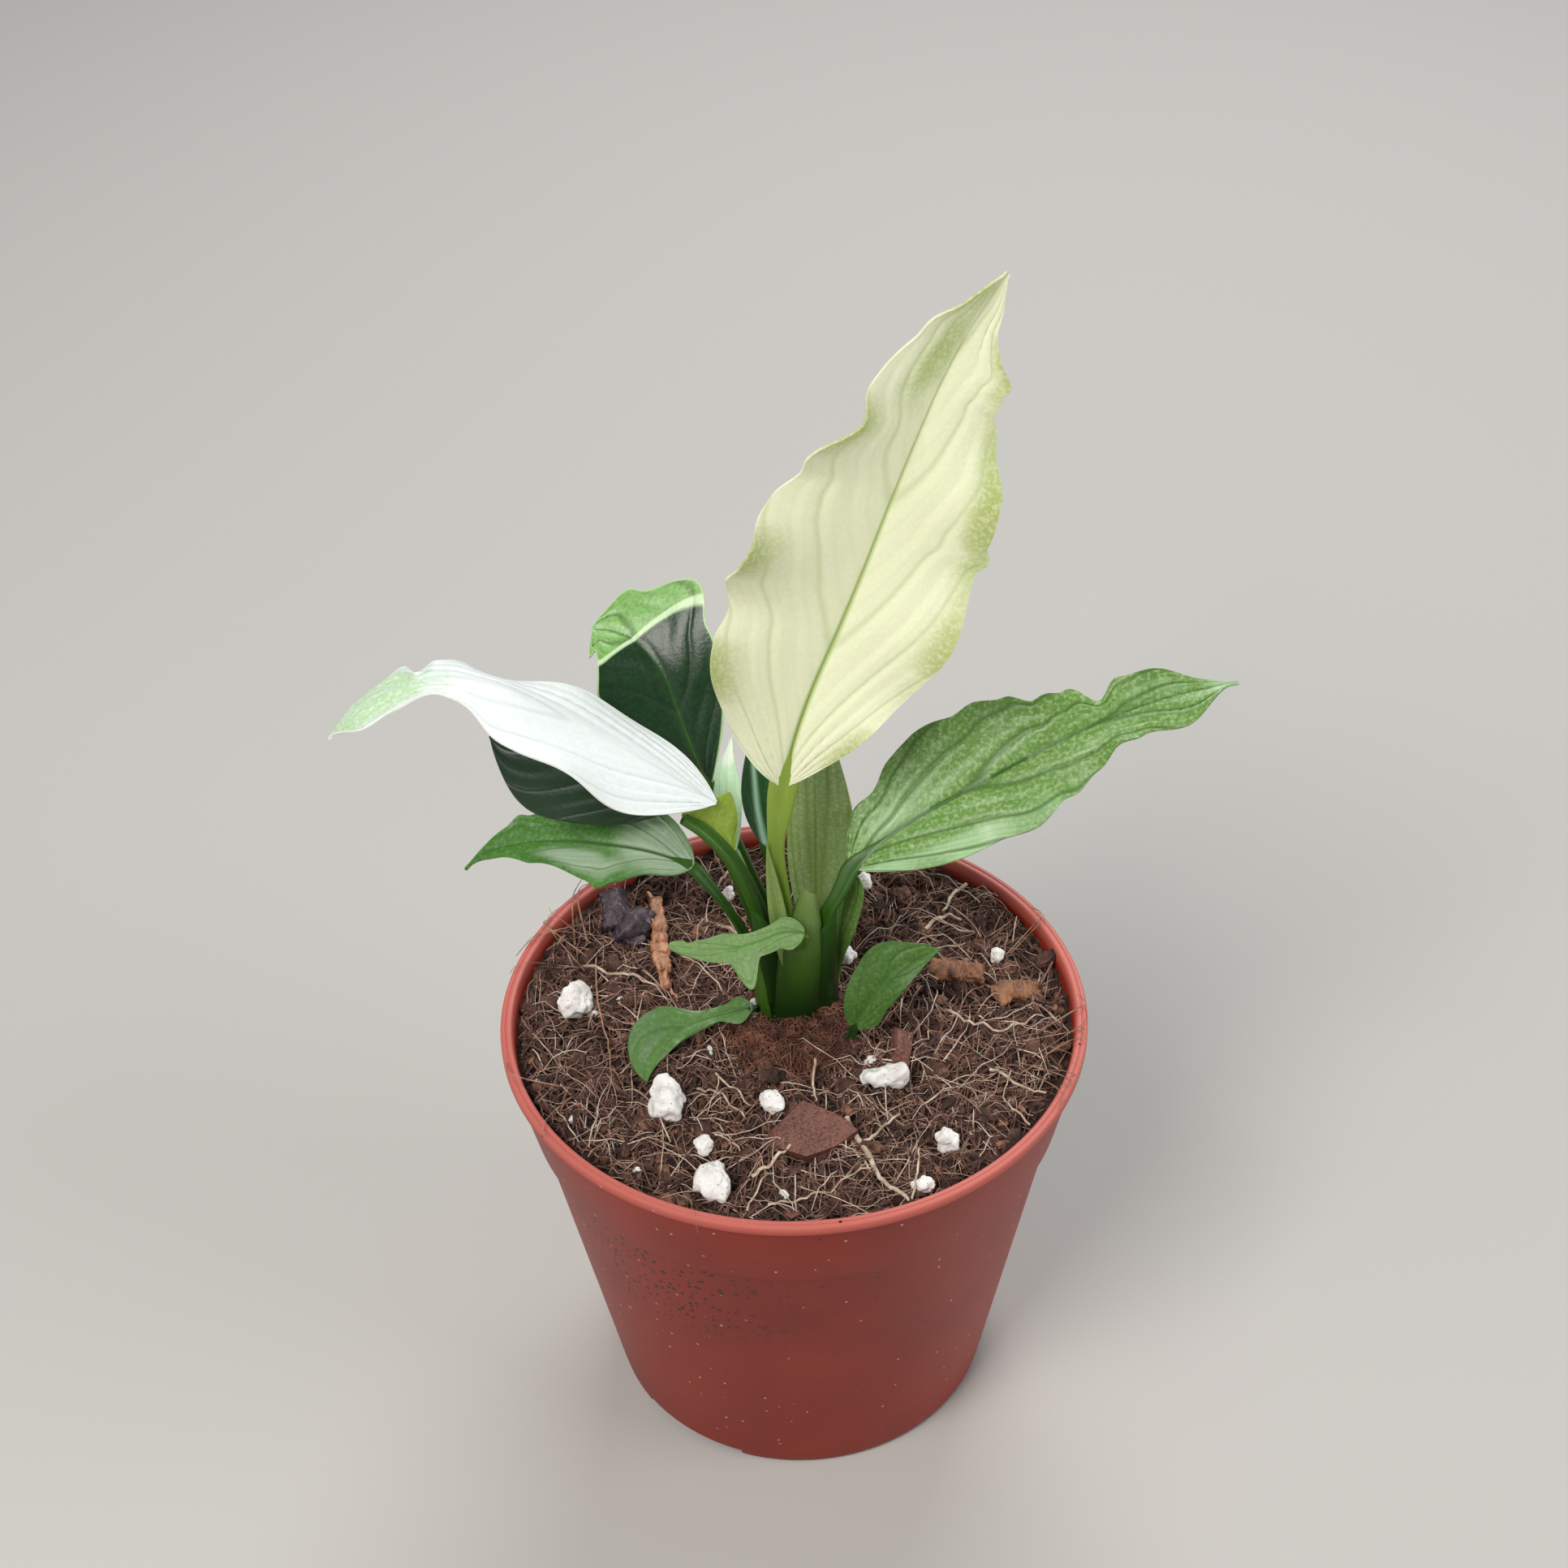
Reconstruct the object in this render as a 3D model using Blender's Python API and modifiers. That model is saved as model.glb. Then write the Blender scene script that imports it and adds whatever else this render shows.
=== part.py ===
"""Young variegated peace lily in a round nursery pot.

The pot stands on z = 0 with its axis on the world Z axis, and the front of the plant faces -Y.
Every size below is in millimetres; MM turns it into Blender's metres.
"""

import math

import bmesh
import bpy
from mathutils import Matrix, Vector, noise
from mathutils.bvhtree import BVHTree

MM = 0.001
GAP = 0.3              # clearance between two pieces that touch
TURNS = 56             # sides of every round piece

# ---- pot -------------------------------------------------------------------------------------
POT_HEIGHT = 83.6
RIM_RADIUS = 52.5
RIM_LAND = 2.1         # width of the flat top of the rim
LIP_HEIGHT = 1.8       # thin rolled lip at the very top
LIP_STEP = 0.7
BAND_HEIGHT = 17.6     # straight band between the lip and the stacking step
BAND_RADIUS = 48.5     # at the band's lower edge
BAND_STEP = 0.9
BASE_RADIUS = 35.5
WALL = 1.1
FLOOR = 1.2
FOOT_HEIGHT = 2.0      # the floor is raised this much above the foot
FOOT_WIDTH = 3.4
PAD_RADIUS = 9.0       # flat pad in the middle of the underside, level with the foot
NOTCH_HEIGHT = 1.8
NOTCH_WIDTH = 22.0
NOTCH_ANGLES = (233, 353, 113)
HOLES = 8
HOLE_RADIUS = 3.0
HOLE_CIRCLE = 22.0

# ---- growing mix ------------------------------------------------------------------------------
SOIL_DROP = 3.0        # soil surface below the rim
SOIL_ROUGH = 0.9
PLUG_CENTRE = (-0.3, -4.0)
PLUG_RADIUS = 13.5
PLUG_DEPTH = 18.0
PLUG_RISE = 2.8        # the plug's top above the soil
CROWN_CENTRE = (0.6, 2.2)
CROWN_RADIUS = 6.6
CROWN_HEIGHT = 6.0

# ---- plant ------------------------------------------------------------------------------------
LEAF_SCALE = 1.0       # size of the whole plant above the crown
BLADE_THICKNESS = 0.6
STALK_SIDES = 8

SOIL_LEVEL = POT_HEIGHT - SOIL_DROP
PLUG_TOP = SOIL_LEVEL + PLUG_RISE
CROWN_FOOT = PLUG_TOP + GAP
CROWN_TOP = CROWN_FOOT + CROWN_HEIGHT


# ---- scene, collections, materials ------------------------------------------------------------
for old in list(bpy.data.objects):
    bpy.data.objects.remove(old)
plant = bpy.data.collections.new("potted_peace_lily")
cutters = bpy.data.collections.new("cutters")
bpy.context.scene.collection.children.link(plant)
bpy.context.scene.collection.children.link(cutters)


def material(name, colour, roughness):
    """A plain Principled material; the colour is sRGB hex."""
    made = bpy.data.materials.new(name)
    made.use_nodes = True
    shader = made.node_tree.nodes["Principled BSDF"]
    rgb = [int(colour[i:i + 2], 16) / 255 for i in (1, 3, 5)]
    linear = [c / 12.92 if c <= 0.04045 else ((c + 0.055) / 1.055) ** 2.4 for c in rgb]
    shader.inputs["Base Color"].default_value = (*linear, 1)
    shader.inputs["Roughness"].default_value = roughness
    shader.inputs["Metallic"].default_value = 0
    made.diffuse_color = (*linear, 1)
    return made


TERRACOTTA = material("terracotta_polypropylene", "#8C3324", 0.45)
SOIL = material("coir_potting_mix", "#3A261C", 0.95)
PEAT = material("peat_plug_fibre", "#5C3424", 0.95)
PERLITE = material("expanded_perlite", "#E8E4E0", 0.9)
BARK = material("pine_bark", "#6E3B2E", 0.85)
DARK_BARK = material("charred_pine_bark", "#4A3A3E", 0.8)
ROOTWOOD = material("knotted_rootwood", "#B06A44", 0.85)
STRAW = material("coir_straw", "#C9B09A", 0.8)
CREAM_LEAF = material("cream_leaf", "#E6E8BA", 0.5)
WHITE_LEAF = material("white_leaf", "#E2EEE6", 0.5)
GREEN_LEAF = material("green_leaf", "#5E8E46", 0.45)
DARK_LEAF = material("dark_green_leaf", "#1E4A1C", 0.4)
PALE_LEAF = material("pale_grey_green_leaf", "#8FA880", 0.5)
STALK = material("green_stalk", "#3F6A1E", 0.4)


def named(obj, name, mat, group=plant):
    """Gives an object its name, its material and its one collection."""
    obj.name = obj.data.name = name
    for held in list(obj.users_collection):
        held.objects.unlink(obj)
    group.objects.link(obj)
    obj.data.materials.clear()
    if mat:
        obj.data.materials.append(mat)
    return obj


def as_mesh(obj):
    """The object with its modifiers or its bevel made into plain mesh."""
    bpy.context.view_layer.update()
    name, where = obj.name, obj.matrix_world.copy()
    groups, mats = list(obj.users_collection), list(obj.data.materials)
    mesh = bpy.data.meshes.new_from_object(obj.evaluated_get(bpy.context.evaluated_depsgraph_get()))
    bpy.data.objects.remove(obj)
    done = bpy.data.objects.new(name, mesh)
    done.matrix_world = where
    for group in groups:
        group.objects.link(done)
    if mats and not mesh.materials:
        mesh.materials.append(mats[0])
    shape = bmesh.new()
    shape.from_mesh(mesh)
    bmesh.ops.remove_doubles(shape, verts=shape.verts, dist=1e-6)
    bmesh.ops.recalc_face_normals(shape, faces=shape.faces)
    shape.to_mesh(mesh)
    shape.free()
    return done


def lathe(name, profile, mat, centre=(0, 0), turns=TURNS):
    """Turns a profile of (radius, height) about the vertical through centre with a Screw modifier."""
    mesh = bpy.data.meshes.new(name)
    points = [(r * MM, 0, z * MM) for r, z in profile]
    mesh.from_pydata(points, [(i, i + 1) for i in range(len(points) - 1)], [])
    obj = named(bpy.data.objects.new(name, mesh), name, mat)
    obj.location = (centre[0] * MM, centre[1] * MM, 0)
    screw = obj.modifiers.new("turn", "SCREW")
    screw.steps = screw.render_steps = turns
    screw.use_merge_vertices = True
    screw.merge_threshold = 1e-5
    screw.use_normal_calculate = True
    return obj


def cut(obj, cutter):
    """Subtracts cutter from obj and keeps the cutter as a hidden wire helper."""
    cutter.hide_render = True
    cutter.display_type = "WIRE"
    boolean = obj.modifiers.new("cut", "BOOLEAN")
    boolean.operation = "DIFFERENCE"
    boolean.solver = "EXACT"
    boolean.object = cutter


# ---- pot --------------------------------------------------------------------------------------
LIP_FOOT = POT_HEIGHT - LIP_HEIGHT
STEP = LIP_FOOT - BAND_HEIGHT + LIP_HEIGHT
FLOOR_TOP = FOOT_HEIGHT + FLOOR
INNER_WALL = [
    (BASE_RADIUS - 0.5, FLOOR_TOP),
    (BAND_RADIUS - BAND_STEP - WALL, STEP - 1.0),
    (BAND_RADIUS - WALL, STEP - 0.2),
    (RIM_RADIUS - RIM_LAND, POT_HEIGHT),
]


def inner_radius(height):
    """Radius of the inside of the pot at a height."""
    for (r0, z0), (r1, z1) in zip(INNER_WALL, INNER_WALL[1:]):
        if height <= z1:
            return r0 + (r1 - r0) * (height - z0) / (z1 - z0)
    return INNER_WALL[-1][0]


pot = lathe("pot", [
    (0, FLOOR_TOP),
    *INNER_WALL,
    (RIM_RADIUS - 0.4, POT_HEIGHT),
    (RIM_RADIUS, POT_HEIGHT - 0.4),
    (RIM_RADIUS, LIP_FOOT),
    (RIM_RADIUS - LIP_STEP, LIP_FOOT - 0.4),
    (BAND_RADIUS, STEP),
    (BAND_RADIUS - BAND_STEP, STEP - 0.5),
    (BASE_RADIUS + 0.2, 0.8),
    (BASE_RADIUS - 0.4, 0),
    (BASE_RADIUS - FOOT_WIDTH, 0),
    (BASE_RADIUS - FOOT_WIDTH - 0.4, FOOT_HEIGHT),
    (PAD_RADIUS + 0.4, FOOT_HEIGHT),
    (PAD_RADIUS, 0),
    (0, 0),
], TERRACOTTA)

for count, angle in enumerate(NOTCH_ANGLES):
    bpy.ops.mesh.primitive_cube_add(size=1)
    notch = named(bpy.context.object, f"notch_cutter_{count + 1}", None, cutters)
    turn = math.radians(angle)
    reach = BASE_RADIUS - FOOT_WIDTH / 2
    notch.scale = (10 * MM, NOTCH_WIDTH * MM, 2 * NOTCH_HEIGHT * MM)
    notch.rotation_euler.z = turn
    notch.location = (math.cos(turn) * reach * MM, math.sin(turn) * reach * MM, 0)
    cut(pot, notch)
for count in range(HOLES):
    turn = 2 * math.pi * (count + 0.5) / HOLES
    bpy.ops.mesh.primitive_cylinder_add(vertices=12, radius=HOLE_RADIUS * MM, depth=3 * FLOOR * MM)
    hole = named(bpy.context.object, f"drain_cutter_{count + 1}", None, cutters)
    hole.location = (
        math.cos(turn) * HOLE_CIRCLE * MM,
        math.sin(turn) * HOLE_CIRCLE * MM,
        (FOOT_HEIGHT + FLOOR / 2) * MM,
    )
    cut(pot, hole)


# ---- soil and peat plug -----------------------------------------------------------------------
def roughness(x, y, size):
    """Height of the crumbs of a growing mix at a place, in millimetres."""
    coarse = noise.noise(Vector((x / 11, y / 11, size)))
    fine = noise.noise(Vector((x / 5, y / 5, size + 7)))
    return SOIL_ROUGH * (coarse + 0.6 * fine)


SOIL_RINGS = 8
soil_radius = inner_radius(SOIL_LEVEL) - GAP
soil = lathe("soil", [
    *[(soil_radius * ring / SOIL_RINGS, SOIL_LEVEL) for ring in range(SOIL_RINGS)],
    (inner_radius(SOIL_LEVEL) - GAP, SOIL_LEVEL),
    (INNER_WALL[2][0] - GAP, INNER_WALL[2][1]),
    (INNER_WALL[1][0] - GAP, INNER_WALL[1][1] - GAP),
    (INNER_WALL[0][0] - GAP, INNER_WALL[0][1] + GAP),
    (0, FLOOR_TOP + GAP),
], SOIL)
soil = as_mesh(soil)
for vertex in soil.data.vertices:
    x, y, z = (value / MM for value in vertex.co)
    if z > SOIL_LEVEL - 0.1 and math.hypot(x, y) < soil_radius - 1:
        vertex.co.z += roughness(x, y, 0) * MM
bpy.ops.mesh.primitive_cylinder_add(
    vertices=TURNS // 2,
    radius=(PLUG_RADIUS + GAP) * MM,
    depth=2 * PLUG_DEPTH * MM,
    location=(PLUG_CENTRE[0] * MM, PLUG_CENTRE[1] * MM, SOIL_LEVEL * MM),
)
pocket = named(bpy.context.object, "plug_pocket_cutter", None, cutters)
cut(soil, pocket)

plug = as_mesh(lathe("peat_plug", [
    (0, PLUG_TOP),
    (PLUG_RADIUS * 0.45, PLUG_TOP),
    (PLUG_RADIUS * 0.72, PLUG_TOP - 0.25),
    (PLUG_RADIUS * 0.92, PLUG_TOP - 1.1),
    (PLUG_RADIUS, PLUG_TOP - PLUG_RISE),
    (PLUG_RADIUS - 1.5, SOIL_LEVEL - PLUG_DEPTH + GAP),
    (0, SOIL_LEVEL - PLUG_DEPTH + GAP),
], PEAT, PLUG_CENTRE, TURNS // 2))


# ---- crown ------------------------------------------------------------------------------------
crown = lathe("crown", [
    (0, CROWN_TOP),
    (CROWN_RADIUS * 0.86, CROWN_TOP),
    (CROWN_RADIUS * 0.97, CROWN_TOP - 1),
    (CROWN_RADIUS, CROWN_FOOT + CROWN_HEIGHT * 0.45),
    (CROWN_RADIUS * 0.9, CROWN_FOOT),
    (0, CROWN_FOOT),
], STALK, CROWN_CENTRE, 20)


# ---- leaves -----------------------------------------------------------------------------------
def eased(values, share):
    """The value at a share of the way along a list of evenly spaced ones."""
    at = share * (len(values) - 1)
    low = min(int(at), len(values) - 2)
    return values[low] + (values[low + 1] - values[low]) * (at - low)


def direction(heading, climb):
    """Unit vector from a heading (0 is +X, 90 is +Y) and a climb above the horizontal, in degrees."""
    h, c = math.radians(heading), math.radians(climb)
    return Vector((math.cos(h) * math.cos(c), math.sin(h) * math.cos(c), math.sin(c)))


def half_width(share, widest, base, tip):
    """Outline of a blade, 0 at both ends and 1 at the widest place."""
    if share < widest:
        return math.sin(math.pi / 2 * share / widest) ** base
    return math.cos(math.pi / 2 * (share - widest) / (1 - widest)) ** tip


class Leaf:
    """One blade: its midrib bends through headings and climbs, its upper face looks along face."""

    def __init__(self, name, mat, start, length, headings, climbs, halves, face, fold=10,
                 widest=0.4, base=0.75, tip=1.25, waves=(0, 3, 0, 0.3), scallop=0.0,
                 stem=None, stem_radii=(1.3, 1.0), foot=None, steps=16, cells=4):
        self.name, self.mat, self.length = name, mat, length * LEAF_SCALE
        self.headings, self.climbs, self.halves, self.face = headings, climbs, halves, face
        self.fold, self.widest, self.base, self.tip = fold, widest, base, tip
        self.waves, self.scallop, self.steps, self.cells = waves, scallop, steps, cells
        self.stem, self.stem_radii, self.foot = stem, stem_radii, foot
        self.start = self.placed(start)

    @staticmethod
    def placed(point):
        """A place given from the pot axis and the soil surface, in the pot's frame."""
        x, y, up = point
        return Vector((x * LEAF_SCALE, y * LEAF_SCALE, SOIL_LEVEL + up * LEAF_SCALE))

    def midrib(self):
        """Places, directions and upper normals at even steps along the blade."""
        here, rows = self.start.copy(), []
        step = self.length / self.steps
        for count in range(self.steps + 1):
            share = count / self.steps
            along = direction(eased(self.headings, share), eased(self.climbs, share))
            up = direction(eased(self.face[0], share), eased(self.face[1], share))
            up = (up - along * up.dot(along)).normalized()
            rows.append((here.copy(), along, up))
            mid = min(share + 0.5 / self.steps, 1)
            here += direction(eased(self.headings, mid), eased(self.climbs, mid)) * step
        return rows

    def across(self, row, share, side):
        """A place on the blade, side running from -1 at the left margin to 1 at the right."""
        here, along, up = row
        right = along.cross(up)
        amount, count, left_phase, right_phase = self.waves
        phase = right_phase if side > 0 else left_phase
        wave = math.sin(2 * math.pi * (count * share + phase))
        reach = half_width(share, self.widest, self.base, self.tip)
        reach = max(reach * (1 + self.scallop * wave), 0.04) * LEAF_SCALE
        reach *= self.halves[1 if side > 0 else 0] * side
        lean = math.radians(eased(self.fold, share) if isinstance(self.fold, (list, tuple)) else self.fold)
        lift = abs(reach) * math.sin(lean) + amount * LEAF_SCALE * wave * side * side * math.sin(math.pi * share)
        return here + right * reach * math.cos(lean) + up * lift

    def make_blade(self):
        """A grid laid along the midrib, then thickened."""
        bpy.ops.mesh.primitive_grid_add(x_subdivisions=self.steps, y_subdivisions=self.cells, size=2)
        blade = named(bpy.context.object, self.name, self.mat)
        rows = self.midrib()
        for vertex in blade.data.vertices:
            count = round((vertex.co.x + 1) / 2 * self.steps)
            vertex.co = self.across(rows[count], count / self.steps, -vertex.co.y) * MM
        thick = blade.modifiers.new("thickness", "SOLIDIFY")
        thick.thickness = BLADE_THICKNESS * MM
        thick.offset = 0
        thick.use_even_offset = False

    def make_stalk(self):
        """A tapering tube from the foot through the stem's places to just short of the blade."""
        along = self.midrib()[0][1]
        places = [self.foot, *[self.placed(point) for point in self.stem]]
        if self.stem:
            places.append(self.start - along * 3)
        places.append(self.start - along * (GAP + 0.3))
        tube(self.name.replace("leaf", "stalk"), smooth(places, 3), self.stem_radii, STALK)


def smooth(places, between):
    """Catmull-Rom line through places, with a few points between each two."""
    places = [Vector(place) for place in places]
    ends = [places[0] * 2 - places[1], *places, places[-1] * 2 - places[-2]]
    line = []
    for a, b, c, d in zip(ends, ends[1:], ends[2:], ends[3:]):
        for step in range(between):
            t = step / between
            line.append(0.5 * (2 * b + (c - a) * t + (2 * a - 5 * b + 4 * c - d) * t * t
                               + (3 * b - a - 3 * c + d) * t ** 3))
    return [*line, places[-1]]


def tube(name, line, radii, mat, sides=STALK_SIDES):
    """A round bar along a line of places, its radius changing evenly through radii."""
    curve = bpy.data.curves.new(name, "CURVE")
    curve.dimensions = "3D"
    curve.bevel_depth = MM
    curve.bevel_resolution = sides // 4 - 1 if sides > 4 else 0
    curve.use_fill_caps = True
    curve.twist_mode = "MINIMUM"
    spline = curve.splines.new("POLY")
    spline.points.add(len(line) - 1)
    for count, place in enumerate(line):
        spline.points[count].co = (*(place * MM), 1)
        spline.points[count].radius = eased(radii, count / (len(line) - 1))
    obj = named(bpy.data.objects.new(name, curve), name, mat)
    return as_mesh(obj)


def crown_place(x, y, lift=1.0):
    """A stalk's foot just above the top of the crown."""
    return Vector((CROWN_CENTRE[0] + x, CROWN_CENTRE[1] + y, CROWN_TOP + lift))


def plug_place(x, y, lift=1.0):
    """A stalk's foot just above the peat plug."""
    return Vector((x, y, PLUG_TOP + lift))


LEAVES = [
    Leaf("cream_leaf", CREAM_LEAF, (-0.9, 0.1, 53.8), 94, (27, 27, 27, 28, 31), (78, 63, 67, 64, 44),
         (24.0, 18.0), ((270, 284, 298), (17, 8, 0)), fold=18, widest=0.43, base=0.75, tip=0.9,
         waves=(1.9, 4.1, 0.38, 0.77), steps=24, cells=6,
         foot=crown_place(-0.2, -1.0), stem=[(-1.4, 0.2, 27), (-2.3, -0.6, 41)], stem_radii=(1.7, 1.4, 1.3)),
    Leaf("white_leaf", WHITE_LEAF, (-12.2, 1, 49.8), 74, (174, 174, 177, 186, 192), (38, 33, 32, -5, -58),
         (12.2, 12.8), ((90, 90, 90), (102, 82, 84)), fold=-13, widest=0.31, base=0.8, tip=0.95,
         waves=(1.5, 2.8, 0.28, 1.19), steps=20,
         foot=crown_place(-3.8, -1.6), stem=[(-4.7, 1, 21), (-6.4, 1, 30), (-10.0, 1, 40)],
         stem_radii=(1.7, 1.4, 1.3)),
    Leaf("right_leaf", GREEN_LEAF, (10.5, 3.6, 32.7), 75, (16, 14, 13, 12, 12), (42, 23, 25, 15, -3),
         (12.6, 11.2), ((275, 273, 264), (65, 54, 64)), fold=9, widest=0.29, base=0.7, tip=1.15,
         waves=(1.5, 3.9, 0.05, 0.58), scallop=0.03, steps=20,
         foot=crown_place(4.2, -1.4), stem=[(5.0, 1.6, 19), (6.8, 2.6, 27)], stem_radii=(1.6, 1.3, 1.2)),
    Leaf("low_left_leaf", GREEN_LEAF, (-16.8, 6.2, 31.4), 47, (160, 164, 163, 164, 167), (17, 0, -9, -23, -55),
         (7.5, 8.8), ((281, 281, 280), (65, 69, 63)), fold=7, widest=0.3, base=0.65, tip=1.45,
         waves=(-1.0, 2.5, 0.38, 0.91), scallop=0.06,
         foot=crown_place(-5.0, 1.0), stem=[(-8.2, 3.9, 17), (-11.8, 4.8, 24)], stem_radii=(1.2, 0.95, 0.9)),
    Leaf("back_leaf", DARK_LEAF, (-13.5, 13, 42.8), 38, (129, 127, 125, 144, 167), (52, 56, 60, 22, -9),
         (12.0, 10.8), ((274, 268, 265), (25, 34, 66)), fold=8, widest=0.7, base=0.9, tip=0.8,
         waves=(0.5, 1.8, 0.33, 0.9), scallop=0.05, foot=crown_place(-1.2, 3.6),
         stem=[(-4.6, 8, 20), (-9.6, 11.2, 33)], stem_radii=(1.4, 1.1, 1.0)),
    Leaf("shaded_leaf", DARK_LEAF, (-18.5, 13, 40.7), 36, (166, 165, 162, 161, 165), (19, 11, 9, 13, 16),
         (11.2, 8.3), ((290, 290), (56, 53)), fold=8, widest=0.6, base=0.6, tip=0.85,
         waves=(0.3, 2.3, 0.15, 0.5), foot=crown_place(-3.9, 3.4), stem=[(-7.4, 8.6, 20), (-12.4, 11.4, 33)],
         stem_radii=(1.2, 1.0, 0.9)),
    Leaf("upright_leaf", PALE_LEAF, (4.3, 6.8, 12), 54, (88, 86, 82, 76, 71), (64, 82, 90, 88, 80),
         (5.0, 7.2), ((262, 260), (6, 8)), fold=0, widest=0.35, base=0.55, tip=1.1,
         waves=(0.2, 1.9, 0.39, 0.32), foot=crown_place(3.0, 3.6, 0.8), stem=[], stem_radii=(1.2, 1.0)),
    Leaf("bract_leaf", PALE_LEAF, (-1.0, -2.4, 12), 31, (180, 180, 180, 175, 170), (86, 84, 84, 84, 86),
         (1.6, 1.6), ((270, 270), (5, 5)), fold=20, widest=0.4, base=0.7, tip=1.1, steps=10, cells=2,
         foot=crown_place(-1.5, -4.5, 0.8), stem=[], stem_radii=(0.9, 0.7)),
    Leaf("mint_leaf", PALE_LEAF, (-6.2, 7.6, 33), 22, (115, 110, 90, 70, 60), (70, 74, 76, 70, 60),
         (2.4, 2.6), ((275, 275), (15, 20)), fold=12, widest=0.45, base=0.7, tip=1.1, steps=10, cells=2,
         foot=crown_place(-1.9, 1.5), stem=[(-2.6, 5.2, 20)], stem_radii=(0.8, 0.7)),
    Leaf("green_back_leaf", GREEN_LEAF, (-4.2, 12, 31), 21, (125, 115, 100, 100, 100), (66, 68, 72, 74, 74),
         (2.6, 2.8), ((275, 275), (15, 20)), fold=14, widest=0.45, base=0.7, tip=1.1, steps=10, cells=2,
         foot=crown_place(0.9, 4.4), stem=[(-1.4, 9.8, 20)], stem_radii=(0.75, 0.7)),
    Leaf("front_leaf", GREEN_LEAF, (1.4, -5.4, 27.6), 25, (216, 210, 198, 190, 182), (-6, -26, -8, 24, 26),
         (7.6, 2.6), ((270, 270, 270), (40, 55, 62)), fold=(10, -24, -10, 8), widest=0.42, base=0.6, tip=1.6,
         waves=(0.5, 1.8, 0.2, 0.6), steps=12,
         foot=plug_place(-5.6, -5.4, 1.2), stem=[(-4.2, -5.6, 15)], stem_radii=(1.7, 1.3, 0.9)),
    Leaf("left_seed_leaf", GREEN_LEAF, (-8.8, -0.4, 5.4), 28, (190, 198, 208, 231, 282), (-10, -4, -5, -18, -19),
         (1.6, 6.0), ((290, 294, 300), (60, 65, 52)), fold=9, widest=0.7, base=1.3, tip=1.0,
         waves=(0.8, 1.7, 0.55, 1.08), scallop=0.05, steps=12,
         foot=plug_place(-7.3, 0.5, 1.2), stem=[], stem_radii=(0.9, 0.6)),
    Leaf("right_seed_leaf", GREEN_LEAF, (10.6, -6.8, 4.3), 23, (12, 13, 13, 13, 13), (66, 60, 50, 26, 6),
         (5.8, 3.4), ((267, 262, 262), (36, 47, 50)), fold=9, widest=0.55, base=0.7, tip=1.1,
         waves=(0.3, 1.5, 0.2, 0.5), steps=12,
         foot=plug_place(10.0, -7.2, 0.3), stem=[], stem_radii=(0.8, 0.7)),
]
for leaf in LEAVES:
    leaf.make_blade()
    leaf.make_stalk()


# ---- loose pieces on the soil -----------------------------------------------------------------
bpy.context.view_layer.update()
graph = bpy.context.evaluated_depsgraph_get()
GROUND = [BVHTree.FromObject(piece, graph) for piece in (soil, plug)]
GROUND_SHIFT = [piece.matrix_world.translation.copy() for piece in (soil, plug)]


def ground_height(x, y):
    """Height of the soil or the plug at a place in metres, or None beyond the soil."""
    found = []
    for tree, shift in zip(GROUND, GROUND_SHIFT):
        hit = tree.ray_cast(Vector((x, y, 1)) - shift, Vector((0, 0, -1)))[0]
        if hit:
            found.append(hit.z + shift.z)
    return max(found) if found else None


def seat(obj):
    """Drops or lifts a loose piece so that it rests GAP above the ground."""
    mesh = obj.data
    corners = [vertex.co.copy() for vertex in mesh.vertices]
    corners += [(corners[a] + corners[b]) / 2 for a, b in (edge.vertices for edge in mesh.edges)]
    corners += [face.center.copy() for face in mesh.polygons]
    need = []
    for corner in corners:
        place = obj.matrix_world @ corner
        under = ground_height(place.x, place.y)
        if under is not None:
            need.append(under - place.z)
    obj.location.z += max(need) + (GAP + 0.05) * MM
    bpy.context.view_layer.update()


def crumb(name, x, y, size, seed, mat=PERLITE, tilt=(0, 0, 0), detail=2, bumps=0.22):
    """A lump with a pitted outline, size giving its length, width and height."""
    bpy.ops.mesh.primitive_ico_sphere_add(subdivisions=detail, radius=1)
    obj = named(bpy.context.object, name, mat)
    for vertex in obj.data.vertices:
        swell = 1 + bumps * noise.noise(vertex.co * 1.6 + Vector((seed, 0, 0))) * 2
        vertex.co = vertex.co * swell
        vertex.co = Vector([c * s / 2 * MM for c, s in zip(vertex.co, size)])
    obj.data.transform(Matrix.Rotation(math.radians(tilt[2]), 4, "Z")
                       @ Matrix.Rotation(math.radians(tilt[1]), 4, "Y")
                       @ Matrix.Rotation(math.radians(tilt[0]), 4, "X"))
    obj.location = (x * MM, y * MM, (SOIL_LEVEL + 10) * MM)
    bpy.context.view_layer.update()
    seat(obj)
    return obj


def strand(name, points, radii, mat=STRAW, sides=4):
    """A fibre lying on the ground; each point is (x, y, height above the soil)."""
    line = smooth([Vector((x, y, SOIL_LEVEL + 10 + up)) for x, y, up in points], 3)
    obj = tube(name, line, radii, mat, sides)
    bpy.context.view_layer.update()
    seat(obj)
    return obj


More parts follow.
